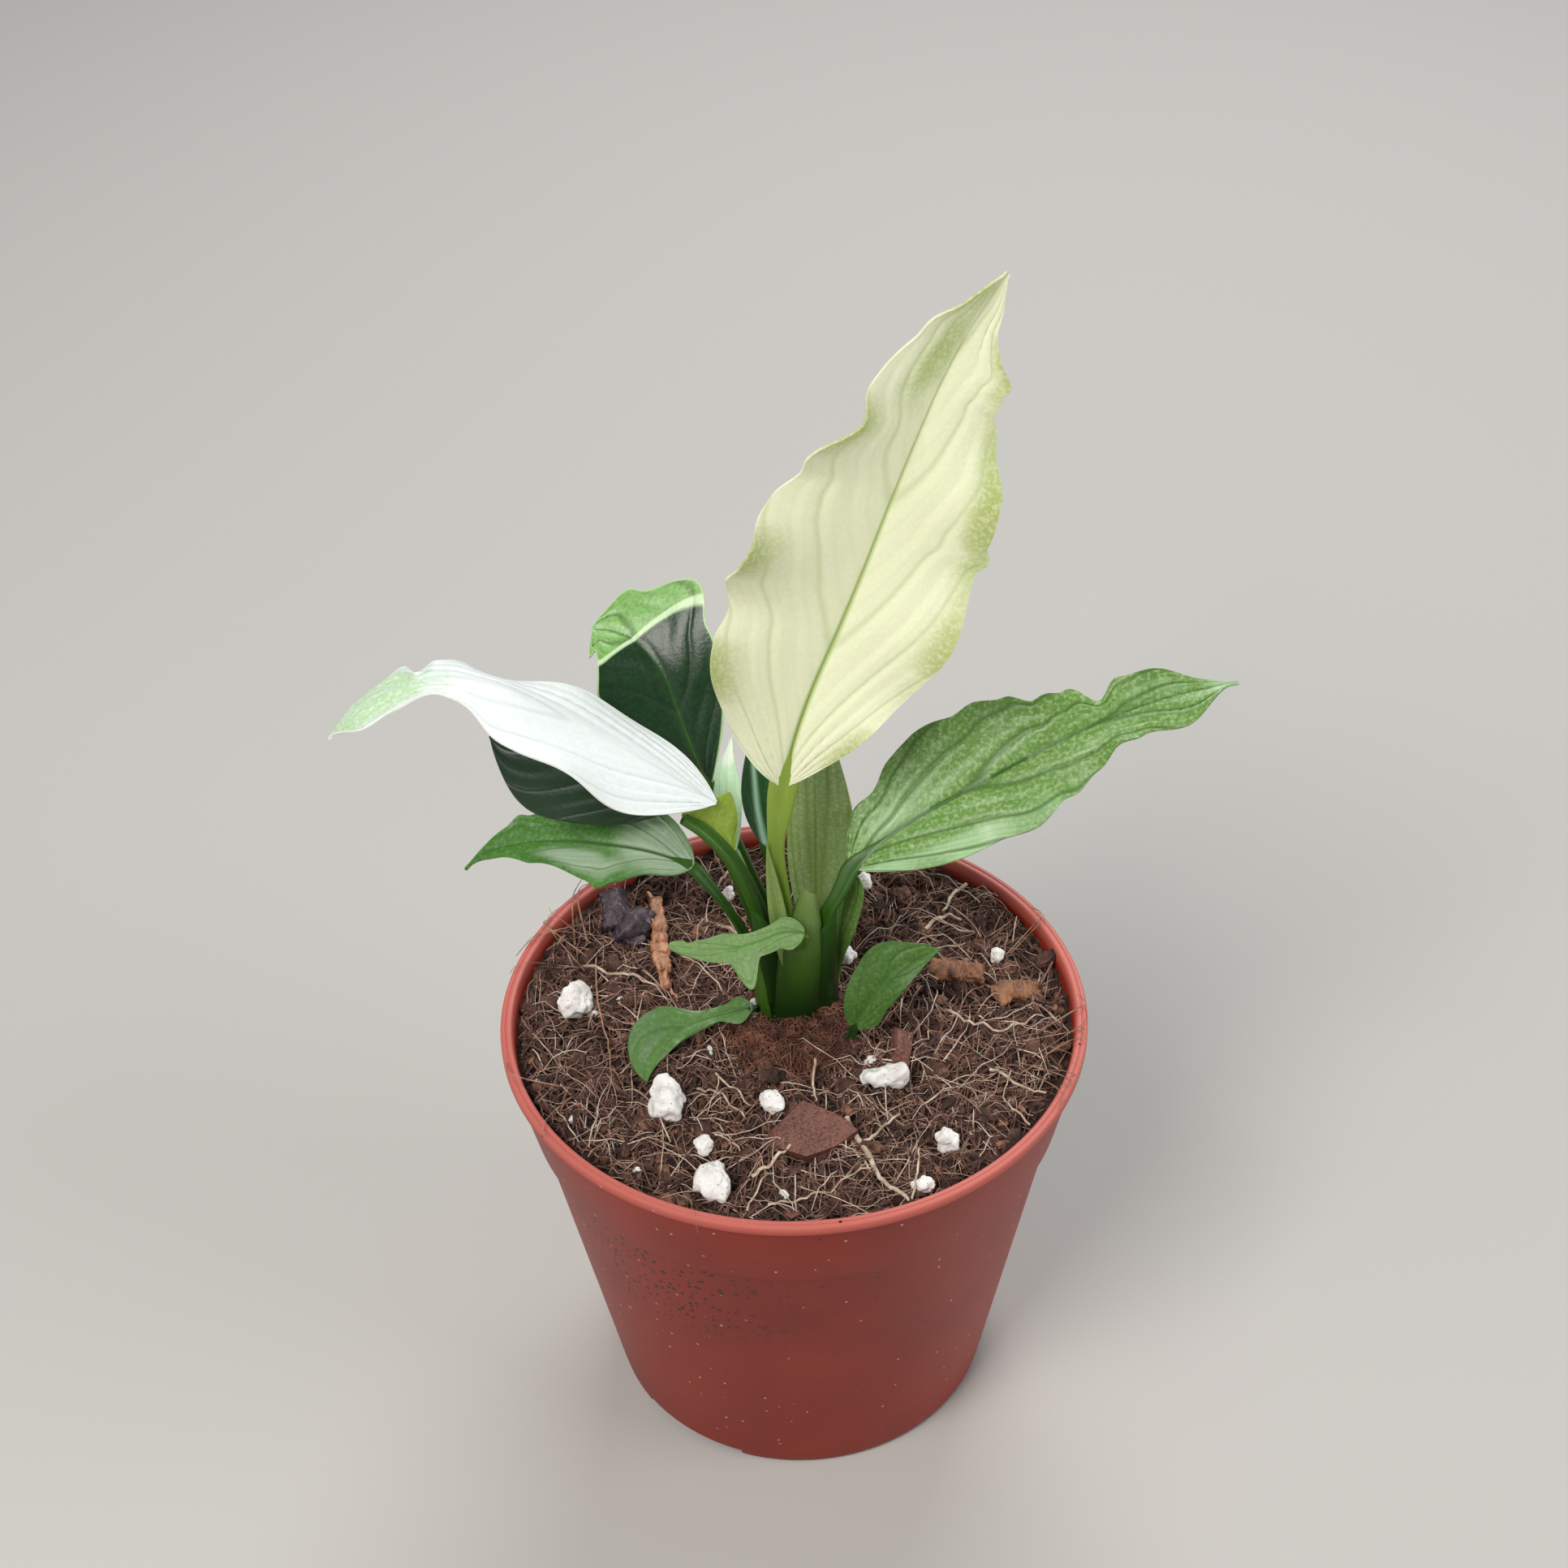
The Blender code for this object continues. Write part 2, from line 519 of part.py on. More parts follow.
PERLITE_GRAINS = [
    (-40.0, 3.5, (7.2, 6.0, 5.2), 1), (-22.5, -21.6, (6.6, 8.4, 5.6), 2), (14.8, -17.6, (8.8, 4.8, 4.4), 3),
    (-4.2, -22.8, (3.6, 4.6, 3.2), 4), (-15.9, -31.6, (3.0, 3.6, 3.0), 5), (-14.1, -41.1, (6.0, 6.2, 5.0), 6),
    (25.7, -32.2, (4.2, 4.2, 3.6), 7), (20.9, -42.0, (3.2, 2.8, 2.6), 8), (9.9, 14.8, (3.6, 3.2, 3.0), 9),
    (14.2, 36.0, (2.4, 3.6, 2.6), 10), (-12.1, 33.4, (2.6, 2.4, 2.4), 11), (37.7, 14.3, (2.4, 2.2, 2.0), 12),
]
for x, y, size, count in PERLITE_GRAINS:
    crumb(f"perlite_{count:02d}", x, y, size, count * 3.1, bumps=0.18)

crumb("bark_flat_front", 1.2, -29.9, (12.5, 10.5, 2.6), 41, BARK, (4, -5, 25), bumps=0.16)
crumb("bark_dark_long", -33.2, 29.8, (4.4, 9.4, 3.6), 44, DARK_BARK, (0, 10, 10), bumps=0.16)
crumb("bark_dark_short", -29.3, 24.4, (4.8, 6.8, 4.2), 47, DARK_BARK, (8, 0, -20), bumps=0.16)
crumb("bark_orange_chip", 30.2, 10.8, (9.0, 4.6, 2.2), 53, ROOTWOOD, (0, 0, -12), bumps=0.16)
crumb("bark_right_flake", 40.4, 5.6, (7.0, 4.4, 1.8), 56, ROOTWOOD, (0, 8, 20), bumps=0.16)
crumb("bark_red_flake", 18.6, -8.6, (3.4, 8.2, 2.2), 59, BARK, (0, 0, -8), bumps=0.16)
strand("rootwood_stick", [(-25.2, 32.6, 1.2), (-24.8, 24, 0.4), (-24.0, 15, 0.2), (-23.2, 6.4, 0)],
       (1.0, 1.9, 1.3, 2.0, 1.2, 1.5, 0.7), ROOTWOOD, 8)

strand("straw_forked", [(10.2, -27.5, 0.6), (12.2, -36, 0.2), (17.4, -44.4, 0)], (0.7, 0.8, 0.5), sides=8)
strand("straw_left", [(-36.4, 18.4, 0.2), (-35.4, 4, 0.8), (-33, -7, 0.6), (-32.2, -16.4, 0.2)], (0.3, 0.35, 0.25))
strand("straw_right_arc", [(27.3, 1.2, 0), (32.1, -4.2, 0.8), (38, -5.6, 1.0), (45.4, -0.6, 0.4)],
       (0.45, 0.5, 0.4))
strand("straw_back", [(33.4, 36.0, 0.2), (31.0, 32.6, 0.4), (28.6, 27.0, 0)], (0.7, 0.8, 0.5))
strand("straw_rim", [(34.0, -15.0, 0), (39.0, -18.0, 0.5), (43.6, -20.4, 0.8)], (0.55, 0.6, 0.5))
strand("straw_behind", [(-11.6, 42.0, 0.2), (-12.6, 38.6, 0.4), (-14.0, 35.8, 0)], (0.5, 0.55, 0.4))
strand("straw_front", [(-1.8, -44.0, 0), (3.4, -42.6, 0.4), (8.6, -38.8, 0)], (0.3, 0.35, 0.3))

for piece in plant.objects:
    if piece.type == "MESH":
        for face in piece.data.polygons:
            face.use_smooth = True
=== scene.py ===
# %% [markdown]
# # A young variegated peace lily in its nursery pot
# The object is a small house plant: a round plastic pot, a loose growing mix of coir and bark, and a crown
# with thirteen leaves, most of them green, one cream and one nearly white. The measured model comes first,
# as a frame. Finer pieces are then modelled over it, one kind at a time, and
# each is given a finish named for what the real one is made of.

# %% Load the measured model
import math
import random

import bmesh
import bpy
from mathutils import Matrix, Vector, noise


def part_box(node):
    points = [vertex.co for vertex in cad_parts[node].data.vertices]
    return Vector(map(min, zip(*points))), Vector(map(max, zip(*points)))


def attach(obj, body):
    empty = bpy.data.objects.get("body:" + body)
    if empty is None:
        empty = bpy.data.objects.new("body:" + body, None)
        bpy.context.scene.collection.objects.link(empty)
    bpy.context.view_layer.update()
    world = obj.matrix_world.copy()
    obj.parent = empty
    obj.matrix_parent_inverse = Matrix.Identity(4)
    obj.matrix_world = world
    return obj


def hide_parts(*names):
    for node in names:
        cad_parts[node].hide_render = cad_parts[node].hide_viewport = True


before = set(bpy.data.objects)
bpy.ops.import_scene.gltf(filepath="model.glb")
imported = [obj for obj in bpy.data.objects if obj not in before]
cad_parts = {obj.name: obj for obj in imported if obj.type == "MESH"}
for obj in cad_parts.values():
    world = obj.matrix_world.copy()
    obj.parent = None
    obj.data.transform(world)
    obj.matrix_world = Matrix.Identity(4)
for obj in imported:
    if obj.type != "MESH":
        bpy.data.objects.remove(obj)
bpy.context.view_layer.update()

print("nodes:", len(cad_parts))

# %% [markdown]
# Sizes are easiest to check in millimetres, so every size below is in millimetres and MM turns it into
# Blender's metres. The pot's and the soil's own boxes give the few heights that the rest is built from.

# %% Sizes read from the frame
MM = 0.001
RIM_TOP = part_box("pot")[1].z / MM
SOIL_LEVEL = RIM_TOP - 3.0
CROWN_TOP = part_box("crown")[1].z / MM
PLUG_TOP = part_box("peat_plug")[1].z / MM
PLUG_CENTRE = (-0.3, -4.0)
PLUG_RADIUS = 13.5
MOUND_RADIUS, MOUND_RISE = 14.5, 2.9     # the mix swells around the plug
WELD = 0.0001                            # places closer than this are one
print(f"rim {RIM_TOP:.1f} high; soil at {SOIL_LEVEL:.1f}; crown top {CROWN_TOP:.1f}")

# %% [markdown]
# Every finish starts from a hex colour as a paint chart gives it. Blender's shader wants linear light, so
# one function turns the one into the other. A second function adds a node with its settings and links;
# with it a material reads from top to bottom like a recipe.

# %% Colour and node helpers
def linear(hex_colour):
    """An sRGB hex colour as the linear red, green, blue and alpha of a shader socket."""
    parts = [int(hex_colour[at:at + 2], 16) / 255 for at in (1, 3, 5)]
    return (*[c / 12.92 if c <= 0.04045 else ((c + 0.055) / 1.055) ** 2.4 for c in parts], 1.0)


def add(tree, kind, inputs=None, stops=None, **settings):
    """Adds a node. inputs maps a socket to a value, a hex colour, another node's output, or a node, which
    stands for its first output."""
    made = tree.nodes.new("ShaderNode" + kind)
    for name, value in settings.items():
        setattr(made, name, value)
    if stops:
        ramp = made.color_ramp
        while len(ramp.elements) < len(stops):
            ramp.elements.new(0.5)
        for element, (place, colour) in zip(ramp.elements, stops):
            element.position, element.color = place, linear(colour)
    for name, value in (inputs or {}).items():
        if isinstance(value, bpy.types.Node):
            value = value.outputs[0]
        if isinstance(value, bpy.types.NodeSocket):
            tree.links.new(value, made.inputs[name])
        else:
            made.inputs[name].default_value = linear(value) if isinstance(value, str) else value
    return made


def finish(name, **sockets):
    """A new material with its uniform values set on the Principled shader; returns material, tree and shader."""
    made = bpy.data.materials.new(name)
    made.use_nodes = True
    shader = made.node_tree.nodes["Principled BSDF"]
    for socket, value in sockets.items():
        shader.inputs[socket.replace("_", " ")].default_value = value
    return made, made.node_tree, shader


def blend(tree, factor, first, second):
    """The colour a share of the way from the first to the second."""
    return add(tree, "Mix", {0: factor, 6: first, 7: second}, data_type="RGBA").outputs[2]


def calc(tree, operation, *values):
    """One sum, product or other operation of a Math node."""
    return add(tree, "Math", dict(enumerate(values)), operation=operation).outputs[0]


def ranged(tree, value, start, end, low=0.0, high=1.0, **settings):
    """The value's place between start and end, as a number from low to high."""
    return add(tree, "MapRange", {"Value": value, "From Min": start, "From Max": end, "To Min": low,
                                  "To Max": high}, **settings).outputs[0]


def tint(tree, shader, colour):
    """Gives the shader its colour, from a node or a node's output."""
    socket = colour.outputs[0] if isinstance(colour, bpy.types.Node) else colour
    tree.links.new(socket, shader.inputs["Base Color"])


def roughen(tree, shader, height, strength, distance):
    """Gives the shader a bump from a height."""
    bump = add(tree, "Bump", {"Strength": strength, "Distance": distance, "Height": height})
    tree.links.new(bump.outputs[0], shader.inputs["Normal"])


print("helpers ready")

# %% [markdown]
# The camera looks down at the pot from in front, a little above the leaves. Its roll is small, so it is
# built from a look-at direction turned by a degree and a half. Making it first means each piece below can
# be looked at as soon as it exists.

# %% Camera
CAMERA_PLACE = Vector((0, -0.3397, 0.4045))
CAMERA_AIM = Vector((-0.0007, 0, 0.1349))
bpy.ops.object.camera_add(location=CAMERA_PLACE)
camera = bpy.context.object
camera.name = "camera"
look = (CAMERA_AIM - CAMERA_PLACE).to_track_quat("-Z", "Y").to_matrix().to_4x4()
camera.matrix_world = Matrix.Translation(CAMERA_PLACE) @ look @ Matrix.Rotation(math.radians(-1.46), 4, "Z")
camera.data.lens = 59.63
camera.data.sensor_width = 36
bpy.context.scene.camera = camera
print("camera at", [round(v, 3) for v in camera.location])

# %% [markdown]
# Three small tools serve every piece. One adds a modifier and applies it at once. One hands a finished
# piece over: its place goes into its mesh, so that its object sits at the origin as a measured node's
# does, its faces are smoothed up to an angle, and the frame is told which nodes it stands for.

# %% Piece helpers
def only(obj):
    """Makes obj the one selected and active object."""
    bpy.ops.object.select_all(action="DESELECT")
    obj.select_set(True)
    bpy.context.view_layer.objects.active = obj


def apply(obj, kind, **settings):
    """Adds a modifier with its settings and applies it."""
    only(obj)
    modifier = obj.modifiers.new(kind.lower(), kind)
    for name, value in settings.items():
        setattr(modifier, name, value)
    bpy.ops.object.modifier_apply(modifier=modifier.name)


def keep(obj, name, material, slot, *nodes, angle=35):
    """Settles a finished piece and hands it to the frame in place of its nodes."""
    only(obj)
    bpy.ops.object.transform_apply(location=True, rotation=True, scale=True)
    obj.name = obj.data.name = name
    obj.data.materials.clear()
    obj.data.materials.append(material)
    bpy.ops.object.shade_smooth_by_angle(angle=math.radians(angle))
    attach(obj, "root")
    if nodes:
        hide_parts(*nodes)
    print(f"{name}: {len(obj.data.polygons)} faces")
    return obj


# %% [markdown]
# The pot is injection-moulded polypropylene, 10.5 cm across, in terracotta red. It could be a spun
# profile, but it is just as clear as a ring that is extruded and resized from the foot up over the rim and
# back down the inside, the way the wall runs. Each row below is one ring: its radius and its height.

# %% Pot body
POT_RINGS = [
    (9.4, 2.0), (31.7, 2.0), (32.1, 0.0), (34.9, 0.0), (35.4, 0.2), (35.75, 0.8), (36.1, 2.4),
    (47.5, 65.3), (47.75, 65.7), (48.3, 65.95), (48.6, 66.5), (51.7, 81.25), (51.8, 81.7),
    (52.3, 81.8), (52.5, 82.0), (52.5, 83.15), (52.38, 83.45), (52.1, 83.58), (51.75, 83.56),
    (51.62, 83.4), (51.45, 83.4), (51.32, 83.56), (50.9, 83.6), (50.6, 83.5), (50.4, 83.2),
    (47.45, 65.8), (46.6, 65.0), (35.2, 4.2), (34.2, 3.2),
]
bpy.ops.mesh.primitive_circle_add(vertices=192, radius=9.0 * MM, fill_type="NGON", location=(0, 0, 0))
pot = bpy.context.object
bpy.ops.object.mode_set(mode="EDIT")
radius, height = 9.0, 0.0
for ring_radius, ring_height in POT_RINGS:
    bpy.ops.mesh.extrude_region_move(TRANSFORM_OT_translate={"value": (0, 0, (ring_height - height) * MM)})
    if height == 0.0 and radius == 9.0:
        bpy.ops.mesh.delete(type="ONLY_FACE")
        bpy.ops.mesh.select_all(action="DESELECT")
        bpy.ops.object.mode_set(mode="OBJECT")
        for vertex in pot.data.vertices:
            vertex.select = vertex.co.z > 1.0 * MM
        bpy.ops.object.mode_set(mode="EDIT")
        bpy.ops.mesh.select_mode(type="EDGE")
    grown = ring_radius / radius
    bpy.ops.transform.resize(value=(grown, grown, 1), center_override=(0, 0, ring_height * MM))
    radius, height = ring_radius, ring_height
bpy.ops.mesh.edge_face_add()
bpy.ops.mesh.select_all(action="SELECT")
bpy.ops.mesh.normals_make_consistent(inside=False)
bpy.ops.object.mode_set(mode="OBJECT")
print("pot:", len(pot.data.polygons), "faces, top at", round(max(v.co.z for v in pot.data.vertices) / MM, 2))

# %% [markdown]
# The foot has three shallow notches that let water out, and the floor has eight drain holes. Both are
# cut with a Boolean: a cube or a cylinder is placed where the plastic is missing and then thrown away.

# %% Notches and drain holes
def cut(obj, cutter):
    """Subtracts the cutter from obj and removes it."""
    apply(obj, "BOOLEAN", operation="DIFFERENCE", solver="EXACT", object=cutter)
    bpy.data.objects.remove(cutter)


def around(turn, reach, height=0.0):
    """A place in metres at a turn in radians and a reach in millimetres from the pot's axis."""
    return (reach * MM * math.cos(turn), reach * MM * math.sin(turn), height * MM)


NOTCH_ANGLES, NOTCH_REACH, NOTCH_SIZE = (233, 353, 113), 33.8, (10, 22, 3.6)
HOLES, HOLE_CIRCLE, HOLE_RADIUS, HOLE_DEPTH, HOLE_HEIGHT = 8, 22, 3, 4, 2.6
for angle in NOTCH_ANGLES:
    turn = math.radians(angle)
    bpy.ops.mesh.primitive_cube_add(size=1, scale=[side * MM for side in NOTCH_SIZE], rotation=(0, 0, turn),
                                    location=around(turn, NOTCH_REACH))
    cut(pot, bpy.context.object)
for count in range(HOLES):
    turn = 2 * math.pi / HOLES * (count + 0.5)
    bpy.ops.mesh.primitive_cylinder_add(vertices=32, radius=HOLE_RADIUS * MM, depth=HOLE_DEPTH * MM,
                                        location=around(turn, HOLE_CIRCLE, HOLE_HEIGHT))
    cut(pot, bpy.context.object)
print("pot after cutting:", len(pot.data.polygons), "faces")

# %% [markdown]
# Moulded polypropylene: a satin skin with a faint orange-peel, IOR 1.49, no metal. A used pot also
# carries dust: pale specks all over, and a drift of dark soil crumbs under the stacking step at the front
# left. The specks are small cells, each kept or dropped by its own random number.

# %% Terracotta polypropylene
plastic, tree, shader = finish("moulded_terracotta_polypropylene", Roughness=0.46, IOR=1.49, Specular_IOR_Level=0.35)
place = add(tree, "TexCoord").outputs["Object"]
split = add(tree, "SeparateXYZ", {0: place})
cloud = add(tree, "TexNoise", {"Vector": place, "Scale": 45.0, "Detail": 4.0})
skin = add(tree, "ValToRGB", {"Fac": cloud},
           stops=[(0.3, "#7E1F10"), (0.7, "#8C2713")])
# The land on top of the rim is painted lighter and pinker: a painted highlight of the lamps above.
rim_highlight_band = ranged(tree, split.outputs["Z"], 81.2 * MM, 83.5 * MM)
rim_painted_highlight = blend(tree, rim_highlight_band, skin, "#C0655A")


def specks(cell, size, share, low, high):
    """A mask of round specks: cells of a size in millimetres, a share of them kept, between two heights."""
    cells = add(tree, "TexVoronoi", {"Vector": place, "Scale": 1 / (cell * MM)})
    spot = calc(tree, "LESS_THAN", cells, size / cell)
    kept = add(tree, "SeparateColor", {0: cells.outputs["Color"]})
    chosen = calc(tree, "LESS_THAN", kept, share)
    above = ranged(tree, split.outputs["Z"], low * MM, (low + 8) * MM)
    below = ranged(tree, split.outputs["Z"], high * MM, (high + 1) * MM, 1.0, 0.0)
    both = calc(tree, "MULTIPLY", above, below)
    mask = calc(tree, "MULTIPLY", spot, chosen)
    return calc(tree, "MULTIPLY", mask, both)


drift = ranged(tree, split.outputs["X"], 6 * MM, -18 * MM)
front = ranged(tree, split.outputs["Y"], -8 * MM, -30 * MM)
corner = calc(tree, "MULTIPLY", drift, front)
crumbs = calc(tree, "MULTIPLY", specks(1.3, 0.42, 0.62, 40, 66), corner)
pale = blend(tree, specks(2.4, 0.26, 0.34, 2, 82), rim_painted_highlight, "#C99A86")
soiled = blend(tree, crumbs, pale, "#2E120C")
dotted = blend(tree, specks(3.1, 0.3, 0.28, 30, 84), soiled, "#3A1610")
tint(tree, shader, dotted)
peel = add(tree, "TexNoise", {"Vector": place, "Scale": 900.0, "Detail": 2.0})
roughen(tree, shader, peel, 0.08, 0.0002)
keep(pot, "nursery_pot", plastic, "terracotta_polypropylene", "pot", angle=38)

# %% [markdown]
# A plain pale floor and soft studio lights: a key above and in front, one behind that gives the rim and
# the leaves their sheen, a side light from the right, a faint fill from the left, and a dim grey world
# that keeps the shadows open.

# %% Floor and lights
bpy.ops.mesh.primitive_plane_add(size=6, location=(0, 0, -0.0002))
floor = bpy.context.object
floor.name = "studio_floor"
paper, tree, shader = finish("matt_backdrop_paper", Roughness=0.9)
grain = add(tree, "TexNoise", {"Scale": 3.0})
tone = add(tree, "ValToRGB", {"Fac": grain}, stops=[(0.3, "#BAB8B4"), (0.7, "#BFBDB9")])
tint(tree, shader, tone)
floor.data.materials.append(paper)


def softbox(name, place, aim, size, power, colour="#FFFFFF"):
    """A square area light at a place, turned to an aim."""
    bpy.ops.object.light_add(type="AREA", location=place)
    light = bpy.context.object
    light.name = name
    light.rotation_euler = (Vector(aim) - Vector(place)).to_track_quat("-Z", "Y").to_euler()
    light.data.size, light.data.energy, light.data.color = size, power, linear(colour)[:3]


softbox("key_light", (-0.38, -0.55, 0.85), (0, 0, 0.1), 0.4, 7.6, "#FFFAF4")
softbox("rear_light", (0.15, 0.7, 0.85), (0, 0, 0.1), 0.6, 6.5)
softbox("side_light", (0.9, -0.3, 0.45), (0, 0, 0.1), 0.6, 4.4)
softbox("left_fill", (-0.85, -0.45, 0.4), (0, 0, 0.12), 0.6, 1.4)
world = bpy.data.worlds.new("studio")
bpy.context.scene.world = world
world.use_nodes = True
world.node_tree.nodes["Background"].inputs["Color"].default_value = linear("#DDE2E6")
world.node_tree.nodes["Background"].inputs["Strength"].default_value = 0.28
bpy.context.scene.view_settings.view_transform = "Standard"
print("studio ready")

# %% [markdown]
# The growing mix is coir, fine bark and peat. Its surface is one height function, so that everything
# lying on it can ask for the height at its own place. The mix itself starts as a fine square grid. It is
# drawn in to a disc, the function lifts the top, and the edge is extruded down to the floor.

# %% Height of the mix
MIX_RADIUS = 50.0


def ground(x, y):
    """Height of the mix in millimetres: soft humps, crumbs, and the mound of the peat plug."""
    humps = 1.1 * noise.noise(Vector((x / 11, y / 11, 0))) + 1.4 * noise.noise(Vector((x / 4.4, y / 4.4, 7)))
    crumbs = 1.2 * noise.noise(Vector((x / 2.1, y / 2.1, 3))) + 0.4 * noise.noise(Vector((x, y, 5)))
    away = math.hypot(x - PLUG_CENTRE[0], y - PLUG_CENTRE[1]) / MOUND_RADIUS
    mound = MOUND_RISE * (1 - away * away) ** 0.5 if away < 1 else 0
    return SOIL_LEVEL - 0.2 + humps + crumbs + mound


print("height at the middle:", round(ground(0, 0), 2))

# %% Body of the mix
def on_disc(place, radius):
    """Where a point of a square grid lies once the square is drawn in to a circle, without folding a corner."""
    u, v = place.x / MM / radius, place.y / MM / radius
    return radius * u * math.sqrt(1 - v * v / 2), radius * v * math.sqrt(1 - u * u / 2)


bpy.ops.mesh.primitive_grid_add(x_subdivisions=190, y_subdivisions=190, size=2 * MIX_RADIUS * MM)
mix = bpy.context.object
for vertex in mix.data.vertices:
    x, y = on_disc(vertex.co, MIX_RADIUS)
    vertex.co = Vector((x, y, ground(x, y))) * MM
bpy.ops.object.mode_set(mode="EDIT")
bpy.ops.mesh.select_all(action="DESELECT")
bpy.ops.mesh.select_mode(type="EDGE")
bpy.ops.mesh.select_non_manifold(extend=False)
radius = MIX_RADIUS
for ring_radius, drop in ((46.0, 15.8), (34.9, 61.0)):
    bpy.ops.mesh.extrude_edges_move(TRANSFORM_OT_translate={"value": (0, 0, -drop * MM)})
    bpy.ops.transform.resize(value=(ring_radius / radius,) * 2 + (1,), center_override=(0, 0, 0))
    radius = ring_radius
bpy.ops.mesh.edge_face_add()
bpy.ops.mesh.select_all(action="SELECT")
bpy.ops.mesh.normals_make_consistent(inside=False)
bpy.ops.object.mode_set(mode="OBJECT")
print("mix:", len(mix.data.polygons), "faces")

# %% [markdown]
# Moist coir and peat are matt and very dark in their hollows, with brown shreds a fraction of a
# millimetre wide. Two stretched noises crossed at an angle give the shreds.

# %% Coir potting mix
def fibrous(name, dark, middle, light, shred=0.45, rough=0.95):
    """A felt of fine shreds in three browns; shred is their width in millimetres."""
    made, tree, shader = finish(name, Roughness=rough)
    place = add(tree, "TexCoord").outputs["Object"]
    sums = []
    for turn in (0.5, 2.1):
        bent = add(tree, "Mapping", {0: place, "Rotation": (0, 0, turn), "Scale": (1, 0.22, 1)})
        sums.append(add(tree, "TexNoise", {"Vector": bent, "Scale": 1 / (shred * 2.2 * MM),
                                                     "Detail": 3.0, "Distortion": 1.2}).outputs["Fac"])
    shreds = calc(tree, "MAXIMUM", sums[0], sums[1])
    blotch = add(tree, "TexNoise", {"Vector": place, "Scale": 160.0, "Detail": 3.0})
    mixed = calc(tree, "MULTIPLY", shreds, blotch)
    tone = add(tree, "ValToRGB", {"Fac": mixed},
               stops=[(0.18, dark), (0.32, middle), (0.48, light)])
    tint(tree, shader, tone)
    roughen(tree, shader, shreds, 0.9, 0.0006)
    return made


keep(mix, "coir_mix", fibrous("moist_coir_and_bark_mix", "#180E0A", "#38231B", "#6E5040"),
     "coir_potting_mix", "soil", angle=60)

# %% [markdown]
# The young plant was raised in a small peat plug, and the plug's top stands a little proud of the mix in
# front of the crown: finer, redder and more felted. A fine grid is drawn in to a disc and pulled up into a
# low crumbly dome.

# %% Peat plug
bpy.ops.mesh.primitive_grid_add(x_subdivisions=72, y_subdivisions=72, size=2 * PLUG_RADIUS * MM)
plug = bpy.context.object
for vertex in plug.data.vertices:
    x, y = on_disc(vertex.co, PLUG_RADIUS)
    away = math.hypot(x, y)
    rough = 0.5 * noise.noise(Vector((x / 1.3, y / 1.3, 11))) + 0.35 * noise.noise(Vector((x * 1.4, y * 1.4, 4)))
    x, y = x + PLUG_CENTRE[0], y + PLUG_CENTRE[1]
    vertex.co = Vector((x, y, ground(x, y) + 0.5 + rough - 1.4 * min(away / PLUG_RADIUS, 1) ** 6)) * MM
apply(plug, "SOLIDIFY", thickness=0.004, offset=-1)
keep(plug, "felted_peat_plug", fibrous("felted_peat", "#2C160F", "#573023", "#7E4E3C", shred=0.3),
     "peat_plug_fibre", "peat_plug", angle=60)

# %% [markdown]
# What makes the surface look like coir is its loose fibres. Each is a few bends of thin cord lying on the
# mix, so many are drawn as splines of one curve, which a round bevel thickens and convert turns into mesh.
# Each kind of fibre is one object: short dark ones below, then brown, then long pale ones on top.

# %% Fibre maker
def cords(name, lines, sides=0):
    """One mesh of many thin cords. Each line is a list of (place in millimetres, radius in millimetres)."""
    curve = bpy.data.curves.new(name, "CURVE")
    curve.dimensions, curve.bevel_depth, curve.bevel_resolution = "3D", MM, sides
    curve.use_fill_caps = True
    for line in lines:
        spline = curve.splines.new("POLY")
        spline.points.add(len(line) - 1)
        for point, (place, radius) in zip(spline.points, line):
            point.co = (*(place * MM), 1)
            point.radius = radius
    obj = bpy.data.objects.new(name, curve)
    bpy.context.scene.collection.objects.link(obj)
    only(obj)
    bpy.ops.object.convert(target="MESH")
    bpy.ops.object.mode_set(mode="EDIT")
    bpy.ops.mesh.select_all(action="SELECT")
    bpy.ops.mesh.remove_doubles(threshold=WELD * MM)
    bpy.ops.object.mode_set(mode="OBJECT")
    return bpy.context.object


def scattered(seed, count, lengths, radii, bend, lift, reach=49.4, clear=0.0, within=None):
    """Bent lines on the mix at random places; within is a circle (x, y, radius), clear a bare radius at the plug."""
    dice = random.Random(seed)
    lines = []
    while len(lines) < count:
        x0, y0, spread = within or (0, 0, reach)
        away, turn = spread * math.sqrt(dice.random()), dice.uniform(0, 2 * math.pi)
        x, y = x0 + away * math.cos(turn), y0 + away * math.sin(turn)
        if math.hypot(x - PLUG_CENTRE[0], y - PLUG_CENTRE[1]) < clear:
            continue
        length, heading = dice.uniform(*lengths), dice.uniform(0, 2 * math.pi)
        curl, radius, arch = dice.uniform(-bend, bend), dice.uniform(*radii), dice.uniform(*lift)
        points, line = 7, []
        for count_ in range(points):
            share = count_ / (points - 1)
            if math.hypot(x, y) > reach:
                break
            up = arch * math.sin(math.pi * share) + dice.uniform(0, 0.25)
            line.append((Vector((x, y, ground(x, y) + radius + up)), radius * (1 - 0.55 * share)))
            heading += curl + 1.1 * bend * dice.uniform(-1, 1)
            x += math.cos(heading) * length / (points - 1)
            y += math.sin(heading) * length / (points - 1)
        if len(line) > 3:
            lines.append(line)
    return lines


print("fibre maker ready")

# %% [markdown]
# Coir fibre is the husk of the coconut: dull, woody, from chocolate to straw. Colour changes from one
# fibre to the next, which a noise of a few millimetres gives without a colour for each.

